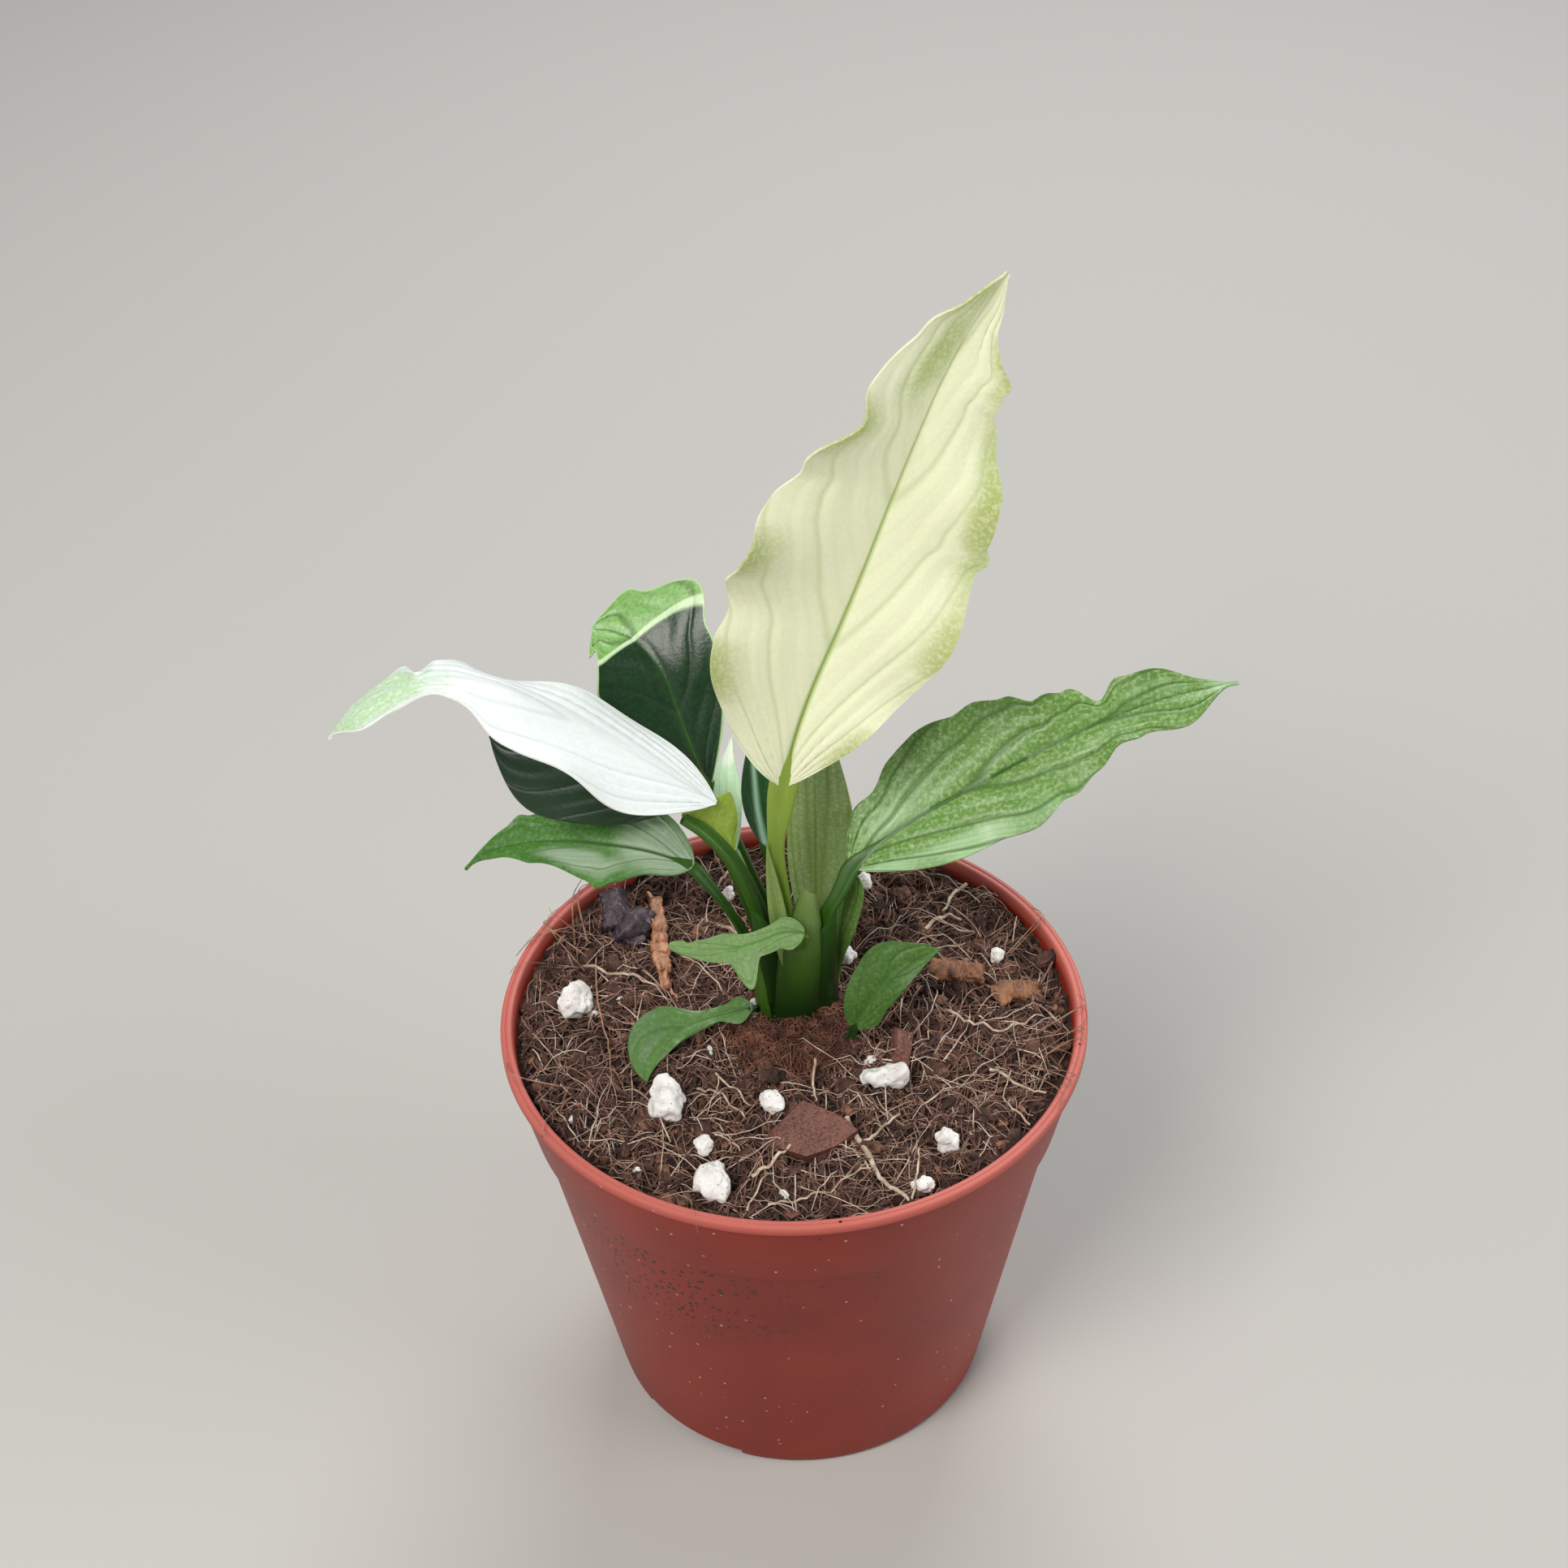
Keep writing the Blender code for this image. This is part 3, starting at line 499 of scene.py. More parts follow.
# %% Coir fibres
def woody(name, dark, light, patch=2.5, rough=0.8):
    """Matt plant fibre whose colour drifts between two browns over a patch in millimetres."""
    made, tree, shader = finish(name, Roughness=rough)
    place = add(tree, "TexCoord").outputs["Object"]
    drift = add(tree, "TexNoise", {"Vector": place, "Scale": 1 / (patch * MM), "Detail": 3.0})
    tone = add(tree, "ValToRGB", {"Fac": drift}, stops=[(0.34, dark), (0.66, light)])
    tint(tree, shader, tone)
    ridge = add(tree, "TexNoise", {"Vector": place, "Scale": 4000.0})
    roughen(tree, shader, ridge, 0.4, 0.0001)
    return made


FIBRES = [
    ("coir_shreds_dark", 1, 1900, (2, 7), (0.16, 0.42), 0.35, (0, 0.6), "#2C1A14", "#5C3E34"),
    ("coir_shreds_brown", 2, 2000, (3, 10), (0.08, 0.2), 0.26, (0, 1.2), "#5A3A2E", "#967060"),
    ("coir_fibres_tan", 3, 900, (4, 14), (0.05, 0.13), 0.2, (0.2, 1.8), "#8A6858", "#BC9E8C"),
    ("coir_fibres_pale", 4, 330, (5, 18), (0.05, 0.16), 0.14, (0.2, 2.2), "#AC927E", "#E2D2C0"),
]
for name, seed, count, lengths, radii, bend, lift, dark, light in FIBRES:
    mat = cords(name, scattered(seed, count, lengths, radii, bend, lift, clear=13.0))
    keep(mat, name, woody(name + "_husk", dark, light), "coir_straw", angle=60)
felt = cords("peat_felt", scattered(5, 1100, (1.5, 5.5), (0.06, 0.15), 0.6, (0.4, 1.2),
                                    within=(PLUG_CENTRE[0], PLUG_CENTRE[1] - 1, 12.5)))
keep(felt, "peat_felt", woody("felted_peat_shreds", "#44251A", "#885A46"), "peat_plug_fibre", angle=60)

# %% [markdown]
# Between the fibres lie crumbs of peat and chips of fine bark. One lump is modelled, a ball pulled out of
# round, and copies of it are turned, stretched and joined. A crumb or a chip has only twenty faces; the
# few larger clods have more.

# %% Crumbs and fine chips
def lumps(name, seed, count, sizes, flat, material, slot, reach=48.6, places=(), detail=1):
    """Many copies of one rough lump joined into one piece; flat squeezes their height. places come first."""
    dice = random.Random(seed)
    bpy.ops.mesh.primitive_ico_sphere_add(subdivisions=detail, radius=0.5)
    lump = bpy.context.object
    for vertex in lump.data.vertices:
        vertex.co *= 1 + 0.5 * noise.noise(vertex.co * 3 + Vector((seed, 0, 0)))
    joined = bmesh.new()
    for number in range(count):
        away, turn = reach * math.sqrt(dice.random()), dice.uniform(0, 2 * math.pi)
        x, y, size = away * math.cos(turn), away * math.sin(turn), dice.uniform(*sizes)
        if number < len(places):
            x, y, size = places[number]
        shape = (Matrix.Translation(Vector((x, y, ground(x, y) + 0.15 * size)) * MM)
                 @ Matrix.Rotation(dice.uniform(0, 6.28), 4, "Z") @ Matrix.Rotation(dice.uniform(-0.6, 0.6), 4, "X")
                 @ Matrix.Diagonal((size * MM, size * dice.uniform(0.5, 1) * MM, size * flat * MM, 1)))
        copy = lump.data.copy()
        copy.transform(shape)
        joined.from_mesh(copy)
        bpy.data.meshes.remove(copy)
    joined.to_mesh(lump.data)
    joined.free()
    return keep(lump, name, material, slot, angle=30)


lumps("peat_clods", 10, 70, (2.4, 5.0), 0.5, fibrous("clotted_peat_and_coir", "#2A1A14", "#573A2E", "#8A6654", 0.35),
      "coir_potting_mix", detail=3)
lumps("peat_crumbs", 11, 1300, (0.6, 2.2), 0.7, woody("crumbled_peat", "#2A1A14", "#5E4032", 1.2, 0.95),
      "coir_potting_mix")
lumps("fine_bark_chips", 12, 150, (1.2, 3.6), 0.28, woody("fine_bark_chips", "#4A2E24", "#94664C", 1.6, 0.85),
      "pine_bark")

# %% [markdown]
# A peace lily blade is a thin, slightly quilted sheet: the midrib lies in a shallow channel, side veins
# leave it at a narrow angle and sweep towards the tip, and the margin waves. A blade here is a grid whose
# long side follows the midrib. The midrib is walked in small steps, each turning towards a new heading and
# climb; a second direction says which way the upper face looks. Two half widths and a fold place the rest.

# %% Walking along a blade
def eased(values, share):
    """The value at a share of the way along evenly spaced ones, straight between them."""
    at = share * (len(values) - 1)
    low = min(int(at), len(values) - 2)
    return values[low] + (values[low + 1] - values[low]) * (at - low)


def direction(heading, climb):
    """Unit vector from a heading (0 is +X, 90 is +Y) and a climb above the horizontal, in degrees."""
    h, c = math.radians(heading), math.radians(climb)
    return Vector((math.cos(h) * math.cos(c), math.sin(h) * math.cos(c), math.sin(c)))


def placed(point):
    """A place given from the pot's axis and the soil surface."""
    return Vector((point[0], point[1], SOIL_LEVEL + point[2]))


def midrib(leaf, steps):
    """Places, directions and upper normals at even steps along a blade."""
    here, rows = placed(leaf["start"]), []
    for count in range(steps + 1):
        share = count / steps
        along = direction(eased(leaf["headings"], share), eased(leaf["climbs"], share))
        up = direction(eased(leaf["face"][0], share), eased(leaf["face"][1], share))
        rows.append((here.copy(), along, (up - along * up.dot(along)).normalized()))
        mid = min(share + 0.5 / steps, 1)
        here += direction(eased(leaf["headings"], mid), eased(leaf["climbs"], mid)) * leaf["length"] / steps
    return rows


print("a blade rises", round(direction(0, 63).z, 2), "mm in each of its millimetres at a climb of 63")

# %% [markdown]
# Across a row, side runs from -1 at the left margin to 1 at the right. The vein number counts side veins:
# it falls as side grows, so that lines of one number leave the midrib forwards. The same number shapes the
# quilting here and draws the veins in the finish, so the two agree.

# %% Shaping across a blade
def half_width(leaf, share):
    """Outline of a blade, 0 at both ends and 1 at the widest place."""
    widest = leaf.get("widest", 0.4)
    if share < widest:
        return math.sin(math.pi / 2 * share / widest) ** leaf.get("base", 0.75)
    return math.cos(math.pi / 2 * (share - widest) / (1 - widest)) ** leaf.get("tip", 1.25)


def vein_number(leaf, share, side):
    count, lag = leaf.get("veins", (8, 0.45))
    return count * (share - lag * abs(side) ** 1.35 * (1 - 0.45 * share))


def bell(value, centre, reach):
    """1 at the centre, easing to 0 at a reach from it."""
    near = max(0.0, 1 - abs(value - centre) / reach)
    return near * near * (3 - 2 * near)


def across(leaf, row, share, side):
    """A place on the blade, and how far it is from the midrib and the margin."""
    here, along, up = row
    right = along.cross(up)
    amount, count, left_phase, right_phase = leaf.get("waves", (0, 3, 0, 0.3))
    wave = math.sin(2 * math.pi * (count * share + (right_phase if side > 0 else left_phase)))
    reach = half_width(leaf, share) * (1 + leaf.get("scallop", 0) * wave)
    for nick_side, centre, width, depth in leaf.get("nicks", ()):
        if nick_side * side > 0:
            reach += depth * bell(share, centre, width)
    reach = max(reach, 0.03) * leaf["halves"][1 if side > 0 else 0]
    fold = leaf.get("fold", 10)
    lean = math.radians(eased(fold, share) if isinstance(fold, (list, tuple)) else fold)
    out = abs(side) * reach
    lift = out * math.sin(lean) + amount * wave * side * side * math.sin(math.pi * share)
    number = vein_number(leaf, share, side)
    swell = abs(math.sin(math.pi * number)) ** 0.7 - 0.6
    lift += leaf.get("quilt", 0.25) * swell * min(1, out / 2.5) * bell(abs(side), 0.5, 0.56) * min(1, reach / 4)
    lift -= leaf.get("channel", 0.35) * math.exp(-(out / 0.8) ** 2) * min(1, reach / 3)
    place = here + right * math.copysign(out, side) * math.cos(lean) + up * lift
    return place, out, reach - out, number, wave


print("margin of a plain blade at half its length:", round(half_width({}, 0.5), 2))

# %% [markdown]
# The finish needs to know where on the blade a point is. Five values are painted on the points while the
# blade is shaped: millimetres from the midrib and from the margin, the vein number, a patch of the second
# colour, and a tint on the crests of the margin waves.

# %% Blade maker
def make_blade(name, leaf, steps, cells, thick=0.42):
    """Shapes one blade from a grid, paints its values on it and gives it thickness."""
    bpy.ops.mesh.primitive_grid_add(x_subdivisions=steps, y_subdivisions=cells, size=2)
    blade = bpy.context.object
    rows = midrib(leaf, steps)
    painted = {key: [] for key in ("rib", "edge", "vein", "patch", "crest")}
    for vertex in blade.data.vertices:
        count, side = round((vertex.co.x + 1) / 2 * steps), -vertex.co.y
        side = math.copysign(abs(side) ** 0.9, side)
        share = count / steps
        place, out, edge, number, wave = across(leaf, rows[count], share, side)
        vertex.co = place * MM
        leaned = share + leaf.get("slant", 0) * side
        patch = max([strength * bell(leaned, along, reach) * bell(side, centre, width)
                     for along, reach, centre, width, strength in leaf.get("patches", ())] or [0])
        crest = leaf.get("crest", 0) * bell(abs(side), 1, 0.42) * max(0, wave) ** 0.7
        rib = out + leaf.get("fade", 0.4) * share ** 2
        for key, value in zip(painted, (rib, edge, number, patch, crest)):
            painted[key].append(value)
    for key, values in painted.items():
        blade.data.attributes.new(key, "FLOAT", "POINT").data.foreach_set("value", values)
    apply(blade, "SOLIDIFY", thickness=thick * MM, offset=0, use_even_offset=False)
    blade.name = name
    return blade


def leaf_tissue(name, body, second, vein, rib, crest, speck, rib_width=0.9, vein_width=0.10, rim=None,
                gloss=0.42, glow=0.12, vein_mix=0.7, grain=0.4, mottle=1.0, crease_highlight=None):
    """Variegated leaf tissue: two ground colours, side veins, midrib, tinted crests, pale cell specks, and an
    optional painted highlight along a bend.
    """
    made, tree, shader = finish(name, Roughness=gloss, IOR=1.45, Subsurface_Weight=glow, Subsurface_Scale=0.0012)
    shader.inputs["Subsurface Radius"].default_value = (1.0, 0.95, 0.5)
    place = add(tree, "TexCoord").outputs["Object"]
    value = {key: add(tree, "Attribute", attribute_name=key).outputs["Fac"]
             for key in ("rib", "edge", "vein", "patch", "crest")}

    def mask(source, start, end):
        return ranged(tree, source, start, end, 1.0, 0.0, interpolation_type="SMOOTHSTEP")

    def mix(factor, a, b):
        return blend(tree, factor, a, b)

    def times(a, b):
        return calc(tree, "MULTIPLY", a, b)

    cloud = add(tree, "TexNoise", {"Vector": place, "Scale": 260.0, "Detail": 5.0}).outputs["Fac"]
    mottled = calc(tree, "ADD", value["patch"], calc(tree, "MULTIPLY_ADD", cloud, mottle, -0.5 * mottle))
    ground_colour = mix(mask(mottled, 0.75, 0.15), body, second)
    ground_colour = mix(value["crest"], ground_colour, crest)
    cells = add(tree, "TexNoise", {"Vector": place, "Scale": 1500.0, "Detail": 3.0}).outputs["Fac"]
    specked = mix(times(mask(cells, 0.68, 0.42), grain), ground_colour, speck)
    veins = mask(calc(tree, "PINGPONG", value["vein"], 1.0), 0.0, vein_width * 2)
    fine = mask(calc(tree, "PINGPONG", times(value["vein"], 4.0), 1.0), 0.0, 0.5)
    soft = mix(times(fine, vein_mix * 0.25), specked, vein)
    veined = mix(times(veins, vein_mix), soft, vein)
    ribbed = mix(mask(value["rib"], 0.0, rib_width), veined, rib)
    rimmed = mix(mask(value["edge"], 0.05, 0.5), ribbed, rim) if rim else ribbed
    # A pale line along the edge of the patch, where the blade bends: a painted highlight.
    if crease_highlight:
        off = calc(tree, "ABSOLUTE", calc(tree, "SUBTRACT", value["patch"], 0.35))
        rimmed = mix(mask(off, 0.12, 0.30), rimmed, crease_highlight)
    tint(tree, shader, rimmed)
    relief = calc(tree, "ADD", cells, times(veins, -1.5))
    roughen(tree, shader, relief, 0.35, 0.00015)
    return made


print("leaf maker ready")

# %% [markdown]
# A stalk is a stem that clasps the crown, carries two thin wings just under the blade, and goes on below
# the blade as its midrib. A round cord can't show the channel and the wings, so its rings are laid by
# code: each is an oval with a dent in its upper side, and the last ones shrink along the underside.

# %% Stalk maker
def smooth(places, between):
    """Catmull-Rom line through places, with a few points between each two."""
    places = [Vector(place) for place in places]
    ends = [places[0] * 2 - places[1], *places, places[-1] * 2 - places[-2]]
    line = []
    for a, b, c, d in zip(ends, ends[1:], ends[2:], ends[3:]):
        for step in range(between):
            t = step / between
            line.append(0.5 * (2 * b + (c - a) * t + (2 * a - 5 * b + 4 * c - d) * t * t
                               + (3 * b - a - 3 * c + d) * t ** 3))
    return [*line, places[-1]]


def skin_over(name, rings):
    """A closed skin over rings of places, its ends capped."""
    size = len(rings[0])
    faces = [tuple(reversed(range(size))), tuple(range((len(rings) - 1) * size, len(rings) * size))]
    for ring in range(len(rings) - 1):
        for at in range(size):
            a, b = ring * size + at, ring * size + (at + 1) % size
            faces.append((a, b, b + size, a + size))
    mesh = bpy.data.meshes.new(name)
    mesh.from_pydata([place * MM for ring in rings for place in ring], [], faces)
    obj = bpy.data.objects.new(name, mesh)
    bpy.context.scene.collection.objects.link(obj)
    only(obj)
    bpy.ops.object.mode_set(mode="EDIT")
    bpy.ops.mesh.select_all(action="SELECT")
    bpy.ops.mesh.normals_make_consistent(inside=False)
    bpy.ops.object.mode_set(mode="OBJECT")
    return obj


def oval(centre, along, up, width, height, dent=0.0, sides=16):
    """One ring: an oval across along, dented from above; up need not be square to along."""
    up = (up - along * up.dot(along)).normalized()
    right = along.cross(up)
    ring = []
    for at in range(sides):
        turn = 2 * math.pi * at / sides
        a, b = math.cos(turn), math.sin(turn)
        drop = dent * max(0, b) * (1 - abs(a)) ** 0.5
        ring.append(centre + right * a * width + up * (b - drop) * height)
    return ring


RIB_STEPS = 60


def make_stalk(name, leaf, rib_share=0.62):
    """Rings from the foot through the stem, and on under the blade as a fading midrib."""
    rows = midrib(leaf, RIB_STEPS)
    up = rows[0][2]
    places = [Vector(leaf["foot"]), *[placed(point) for point in leaf.get("stem", ())]]
    places.append(placed(leaf.get("joint", leaf["start"])))
    line = smooth(places, 8)
    rings = []
    for count, place in enumerate(line[:-1]):
        share = count / (len(line) - 1)
        along = (line[count + 1] - line[max(count - 1, 0)]).normalized()
        thick = eased(leaf["thick"], share)
        wing = 1 + leaf.get("wing", 0.5) * bell(share, 1.0, 0.35)
        clasp = 1 + leaf.get("clasp", 0.5) * bell(share, 0.0, 0.3)
        rings.append(oval(place, along, up, thick * wing * clasp, thick, 0.75))
    wide = 1 + leaf.get("wing", 0.5)
    for count, (place, along, up) in enumerate(rows[1:int(RIB_STEPS * rib_share)]):
        share = count / (RIB_STEPS * rib_share)
        thin, meet = leaf["thick"][-1] * (1 - share) ** 0.8, max(0, 1 - share * 7)
        rings.append(oval(place - up * (0.25 + 0.35 * thin) * (1 - meet), along, up,
                          max(thin * (0.8 + (wide - 0.8) * meet), 0.12), max(thin * (0.55 + 0.45 * meet), 0.1),
                          0.75 * meet))
    return skin_over(name, rings)


print("stalk maker ready")

# %% [markdown]
# Each leaf below is one row of plain design values: where its blade starts, how long it is, how it turns
# and which way it faces, its half widths, and where its colours lie. The cream and the white leaf lack
# most of their green, so they are named and finished apart; the rest run from mint to bottle green.

# %% Crown places
def crown_place(x, y, lift=1.0):
    return (0.6 + x, 2.2 + y, CROWN_TOP - 4 + lift)


def plug_place(x, y, lift=1.0):
    return (x, y, PLUG_TOP - 1 + lift)


def plant_leaf(name, leaf, tissue, stalk, slot, steps=110, cells=36):
    """Makes a leaf's blade and stalk and hands both to the frame."""
    blade = make_blade(name, leaf, steps, cells)
    keep(blade, name.replace("leaf", "blade"), tissue, slot, name, angle=50)
    stem = make_stalk(name + "_stem", leaf, leaf.get("rib_share", 0.62))
    keep(stem, name.replace("leaf", "petiole"), stalk, "green_stalk_tissue", name.replace("leaf", "stalk"), angle=60)


print("crown top used for the feet:", round(CROWN_TOP - 4, 1))

# %% [markdown]
# Stalk tissue is waxy and firm. A stalk's colour changes along its height, so the finish blends three
# greens by height and adds faint long stripes; the very dark foot is painted shade deep in the crown.

# %% Stalk tissue
def stalk_tissue(name, foot, middle, top, stripe=0.35, high=132):
    """Waxy petiole skin blended from a dark foot, which is painted shade, to a lighter top, with fine stripes."""
    made, tree, shader = finish(name, Roughness=0.36, IOR=1.45, Subsurface_Weight=0.15, Subsurface_Scale=0.001)
    place = add(tree, "TexCoord").outputs["Object"]
    split = add(tree, "SeparateXYZ", {0: place})
    # Darker towards the foot: painted shade deep in the crown.
    rise = ranged(tree, split.outputs["Z"], 84 * MM, high * MM)
    tone = add(tree, "ValToRGB", {"Fac": rise},
               stops=[(0.05, foot), (0.45, middle), (0.95, top)])
    long = add(tree, "Mapping", {0: place, "Scale": (1, 1, 0.08)})
    lines = add(tree, "TexNoise", {"Vector": long, "Scale": 1500.0, "Detail": 2.0})
    dark = blend(tree, stripe, tone, foot)
    shade = blend(tree, lines, dark, tone)
    tint(tree, shader, shade)
    roughen(tree, shader, lines, 0.2, 0.0001)
    return made


olive_stalk = stalk_tissue("olive_petiole_skin", "#274A10", "#5E8426", "#8AA23C")
dark_stalk = stalk_tissue("dark_petiole_skin", "#17360A", "#2C540E", "#426E1C")
mint_stalk = stalk_tissue("mint_petiole_skin", "#2A5418", "#6C9A58", "#A8CC9C")
print("stalk finishes:", olive_stalk.name, dark_stalk.name, mint_stalk.name)

# %% [markdown]
# The tall cream leaf stands over the others. It is nearly without green: only the midrib and the crests
# of its waves are olive, with a washed patch left of the midrib near the tip.

# %% Cream leaf
plant_leaf("cream_leaf", dict(
    start=(-0.9, 0.1, 53.8), length=94, headings=(27, 27, 27, 28, 31), climbs=(78, 63, 67, 64, 44),
    halves=(24.0, 18.0), face=((270, 284, 298), (17, 8, 0)), fold=18, widest=0.43, base=0.75, tip=0.9,
    waves=(2.0, 4.1, 0.38, 0.77), veins=(7, 0.72), quilt=0.48, crest=0.9,
    patches=((0.84, 0.2, -0.35, 0.6, 0.7), (0.62, 0.34, 0.95, 0.42, 0.8), (0.45, 0.5, 0.95, 0.35, 0.5),
             (0.97, 0.22, -0.5, 0.9, 0.6)), fade=0.8,
    nicks=((-1, 0.22, 0.1, 0.05), (-1, 0.32, 0.06, -0.07), (-1, 0.39, 0.03, 0.03), (-1, 0.52, 0.05, 0.04),
           (-1, 0.6, 0.04, -0.08), (-1, 0.71, 0.06, -0.16), (-1, 0.885, 0.04, 0.07), (1, 0.52, 0.03, 0.08),
           (1, 0.65, 0.05, 0.04), (1, 0.77, 0.025, -0.05), (1, 0.835, 0.03, 0.08), (1, 0.9, 0.05, -0.06)),
    rib_share=0.4,
    foot=crown_place(-0.2, -1.0), stem=[(-1.4, 0.2, 27), (-2.3, -0.6, 41)], thick=(1.9, 1.5, 1.3), wing=0.9),
    leaf_tissue("cream_leaf_tissue", "#E2E6C2", "#B0BE7A", "#C0CA98", "#98AE5C", "#A2AE60", "#EFF2DC",
                rib_width=1.0, gloss=0.55, vein_mix=0.45, glow=0.1, mottle=0.3, grain=0.3),
    olive_stalk, "cream_leaf_tissue", steps=140, cells=44)

# %% [markdown]
# The white leaf arches out to the left and hangs over. Its blade is folded lengthwise like cloth, so its
# veins run almost along it and the quilting is deep; the tip keeps a pale green. Its grey-blue vein lines
# are painted shade in the folds of the quilting.

# %% White leaf
plant_leaf("white_leaf", dict(
    start=(-12.2, 1, 49.8), length=74, headings=(174, 174, 177, 186, 192), climbs=(38, 33, 32, -5, -58),
    halves=(12.2, 12.8), face=((90, 90, 90), (102, 82, 84)), fold=-13, widest=0.31, base=0.8, tip=0.95,
    waves=(1.5, 2.8, 0.28, 1.19), veins=(5, 0.95), quilt=0.6, crest=0.25, channel=0.15, fade=3.0,
    patches=((0.95, 0.42, 0, 2.0, 1.2),),
    nicks=((-1, 0.7, 0.12, -0.25), (-1, 0.62, 0.07, -0.12), (-1, 0.9, 0.1, 0.2), (1, 0.66, 0.05, 0.12),
           (1, 0.745, 0.035, -0.4), (1, 0.8, 0.05, 0.25), (1, 0.88, 0.09, 0.25)), rib_share=0,
    foot=crown_place(-3.8, -1.6), stem=[(-4.7, 1, 21), (-6.9, 1, 30), (-10.2, 1, 38), (-14.0, 1.2, 43.6)],
    joint=(-18.0, 2.0, 47.0), thick=(1.9, 1.6, 1.5), wing=0.3),
    # The grey-blue vein colour here is painted shade in the folds of the quilting.
    leaf_tissue("white_leaf_tissue", "#E2E9E8", "#B2D2A6", "#BFCDCC", "#CEDAD6", "#C6DAC4", "#F0F4F2",
                rib_width=0.5, gloss=0.5, vein_mix=0.4, rim="#ECEFEA", glow=0.12),
    dark_stalk, "white_leaf_tissue", steps=120, cells=36)

# %% [markdown]
# The right leaf is the greenest large one: silvery mint between dark veins, with a dark midrib, and paler
# along its lower margin and at its tip.

# %% Right leaf
plant_leaf("right_leaf", dict(
    start=(10.5, 3.6, 32.7), length=75, headings=(16, 14, 13, 12, 12), climbs=(42, 23, 25, 15, -3),
    halves=(12.6, 11.2), face=((275, 273, 264), (65, 54, 64)), fold=9, widest=0.29, base=0.7, tip=1.15,
    waves=(1.5, 3.9, 0.05, 0.58), scallop=0.03, veins=(6, 0.8), quilt=0.45, crest=0.5,
    patches=((0.2, 0.55, 0.95, 0.6, 1.0), (1.0, 0.12, 0, 2.0, 1.3), (0.12, 0.35, -0.3, 0.9, 0.5),
             (0.62, 0.3, 0.45, 0.4, 0.4), (0.8, 0.3, -0.4, 0.7, 0.35)), fade=0.5,
    nicks=((-1, 0.14, 0.06, -0.12), (-1, 0.43, 0.07, 0.13), (-1, 0.55, 0.05, -0.22), (-1, 0.605, 0.05, -0.17),
           (-1, 0.68, 0.06, -0.3), (-1, 0.83, 0.08, 0.07), (1, 0.43, 0.1, 0.13), (1, 0.55, 0.05, 0.08),
           (1, 0.68, 0.06, -0.12), (1, 0.86, 0.12, 0.3)),
    foot=crown_place(4.2, -1.4), stem=[(4.8, 1.0, 18), (6.2, 1.0, 24.5), (8.4, 1.8, 28.6)],
    thick=(1.7, 1.4, 1.2), wing=0.4),
    leaf_tissue("right_leaf_tissue", "#638B3E", "#9FC092", "#456B28", "#2F5A16", "#47701E", "#A9C48A",
                rib_width=0.9, vein_width=0.16, gloss=0.4, vein_mix=0.8, grain=0.55, mottle=0.5),
    dark_stalk, "green_leaf_tissue", steps=120, cells=36)

# %% [markdown]
# The low left leaf is bottle green towards its hooked tip and frosted silver over its lower half.

# %% Low left leaf
plant_leaf("low_left_leaf", dict(
    start=(-16.8, 6.2, 31.4), length=47, headings=(160, 164, 163, 164, 167), climbs=(17, 0, -9, -23, -55),
    halves=(7.5, 8.8), face=((281, 281, 280), (65, 69, 63)), fold=7, widest=0.3, base=0.65, tip=1.45,
    waves=(-1.0, 2.5, 0.38, 0.91), scallop=0.06, veins=(5, 0.8), quilt=0.35, crest=0.3,
    patches=((0.05, 0.45, 0, 1.8, 1.0), (0.42, 0.36, -0.55, 0.6, 0.9)), fade=0.6,
    nicks=((1, 0.57, 0.07, -0.18), (1, 0.71, 0.05, 0.12), (-1, 0.15, 0.12, -0.1), (-1, 0.33, 0.06, 0.15),
           (-1, 0.74, 0.12, -0.12)),
    foot=crown_place(-5.0, 1.0), stem=[(-8.2, 3.9, 17), (-11.8, 4.8, 24)], thick=(1.2, 0.9, 0.8), wing=0.7),
    leaf_tissue("frosted_green_leaf_tissue", "#3E7220", "#96AA90", "#4A703A", "#33591E", "#56883A", "#7FA66A",
                rib_width=0.7, vein_mix=0.6, gloss=0.42, mottle=0.45, grain=0.35),
    dark_stalk, "green_leaf_tissue", steps=96, cells=30)

# %% [markdown]
# Two dark leaves stand behind. One rises and folds over at its top, which shows a pale-edged flap: its
# dark body is painted shade and the flap is painted light. The other hangs in the white leaf's shade, and
# its near-black green is painted shade.

# %% Leaves at the back
# Painted light and shade: the dark body is painted shade, the bright patch at the top is the flap painted as lit,
# and the pale crease line is a painted highlight on the bend.
bottle = leaf_tissue("dark_leaf_tissue_with_painted_shade", "#123016", "#84B464", "#0F2A12", "#28521E", "#1C4420", "#24502A",
                     rib_width=0.7, gloss=0.32, vein_mix=0.4, grain=0.3, rim="#A8CC92", glow=0.1, mottle=0.1,
                     crease_highlight="#C2DCAE")
plant_leaf("back_leaf", dict(
    start=(-13.5, 13, 42.8), length=38, headings=(129, 127, 125, 144, 167), climbs=(52, 56, 60, 22, -9),
    halves=(12.0, 10.8), face=((274, 268, 265), (25, 34, 66)), fold=8, widest=0.7, base=0.9, tip=0.8,
    waves=(0.5, 1.8, 0.33, 0.9), scallop=0.03, veins=(5, 0.6), quilt=0.3, slant=0.1,
    patches=((1.0, 0.235, 0, 6.0, 7.0),), nicks=((1, 0.74, 0.1, 0.35), (1, 0.9, 0.06, 0.15), (-1, 0.97, 0.03, 0.3)),
    foot=crown_place(-1.2, 3.6), stem=[(-4.6, 8, 20), (-9.6, 11.2, 33)], thick=(1.5, 1.2, 1.0)),
    bottle, dark_stalk, "dark_green_leaf_tissue", steps=96, cells=32)
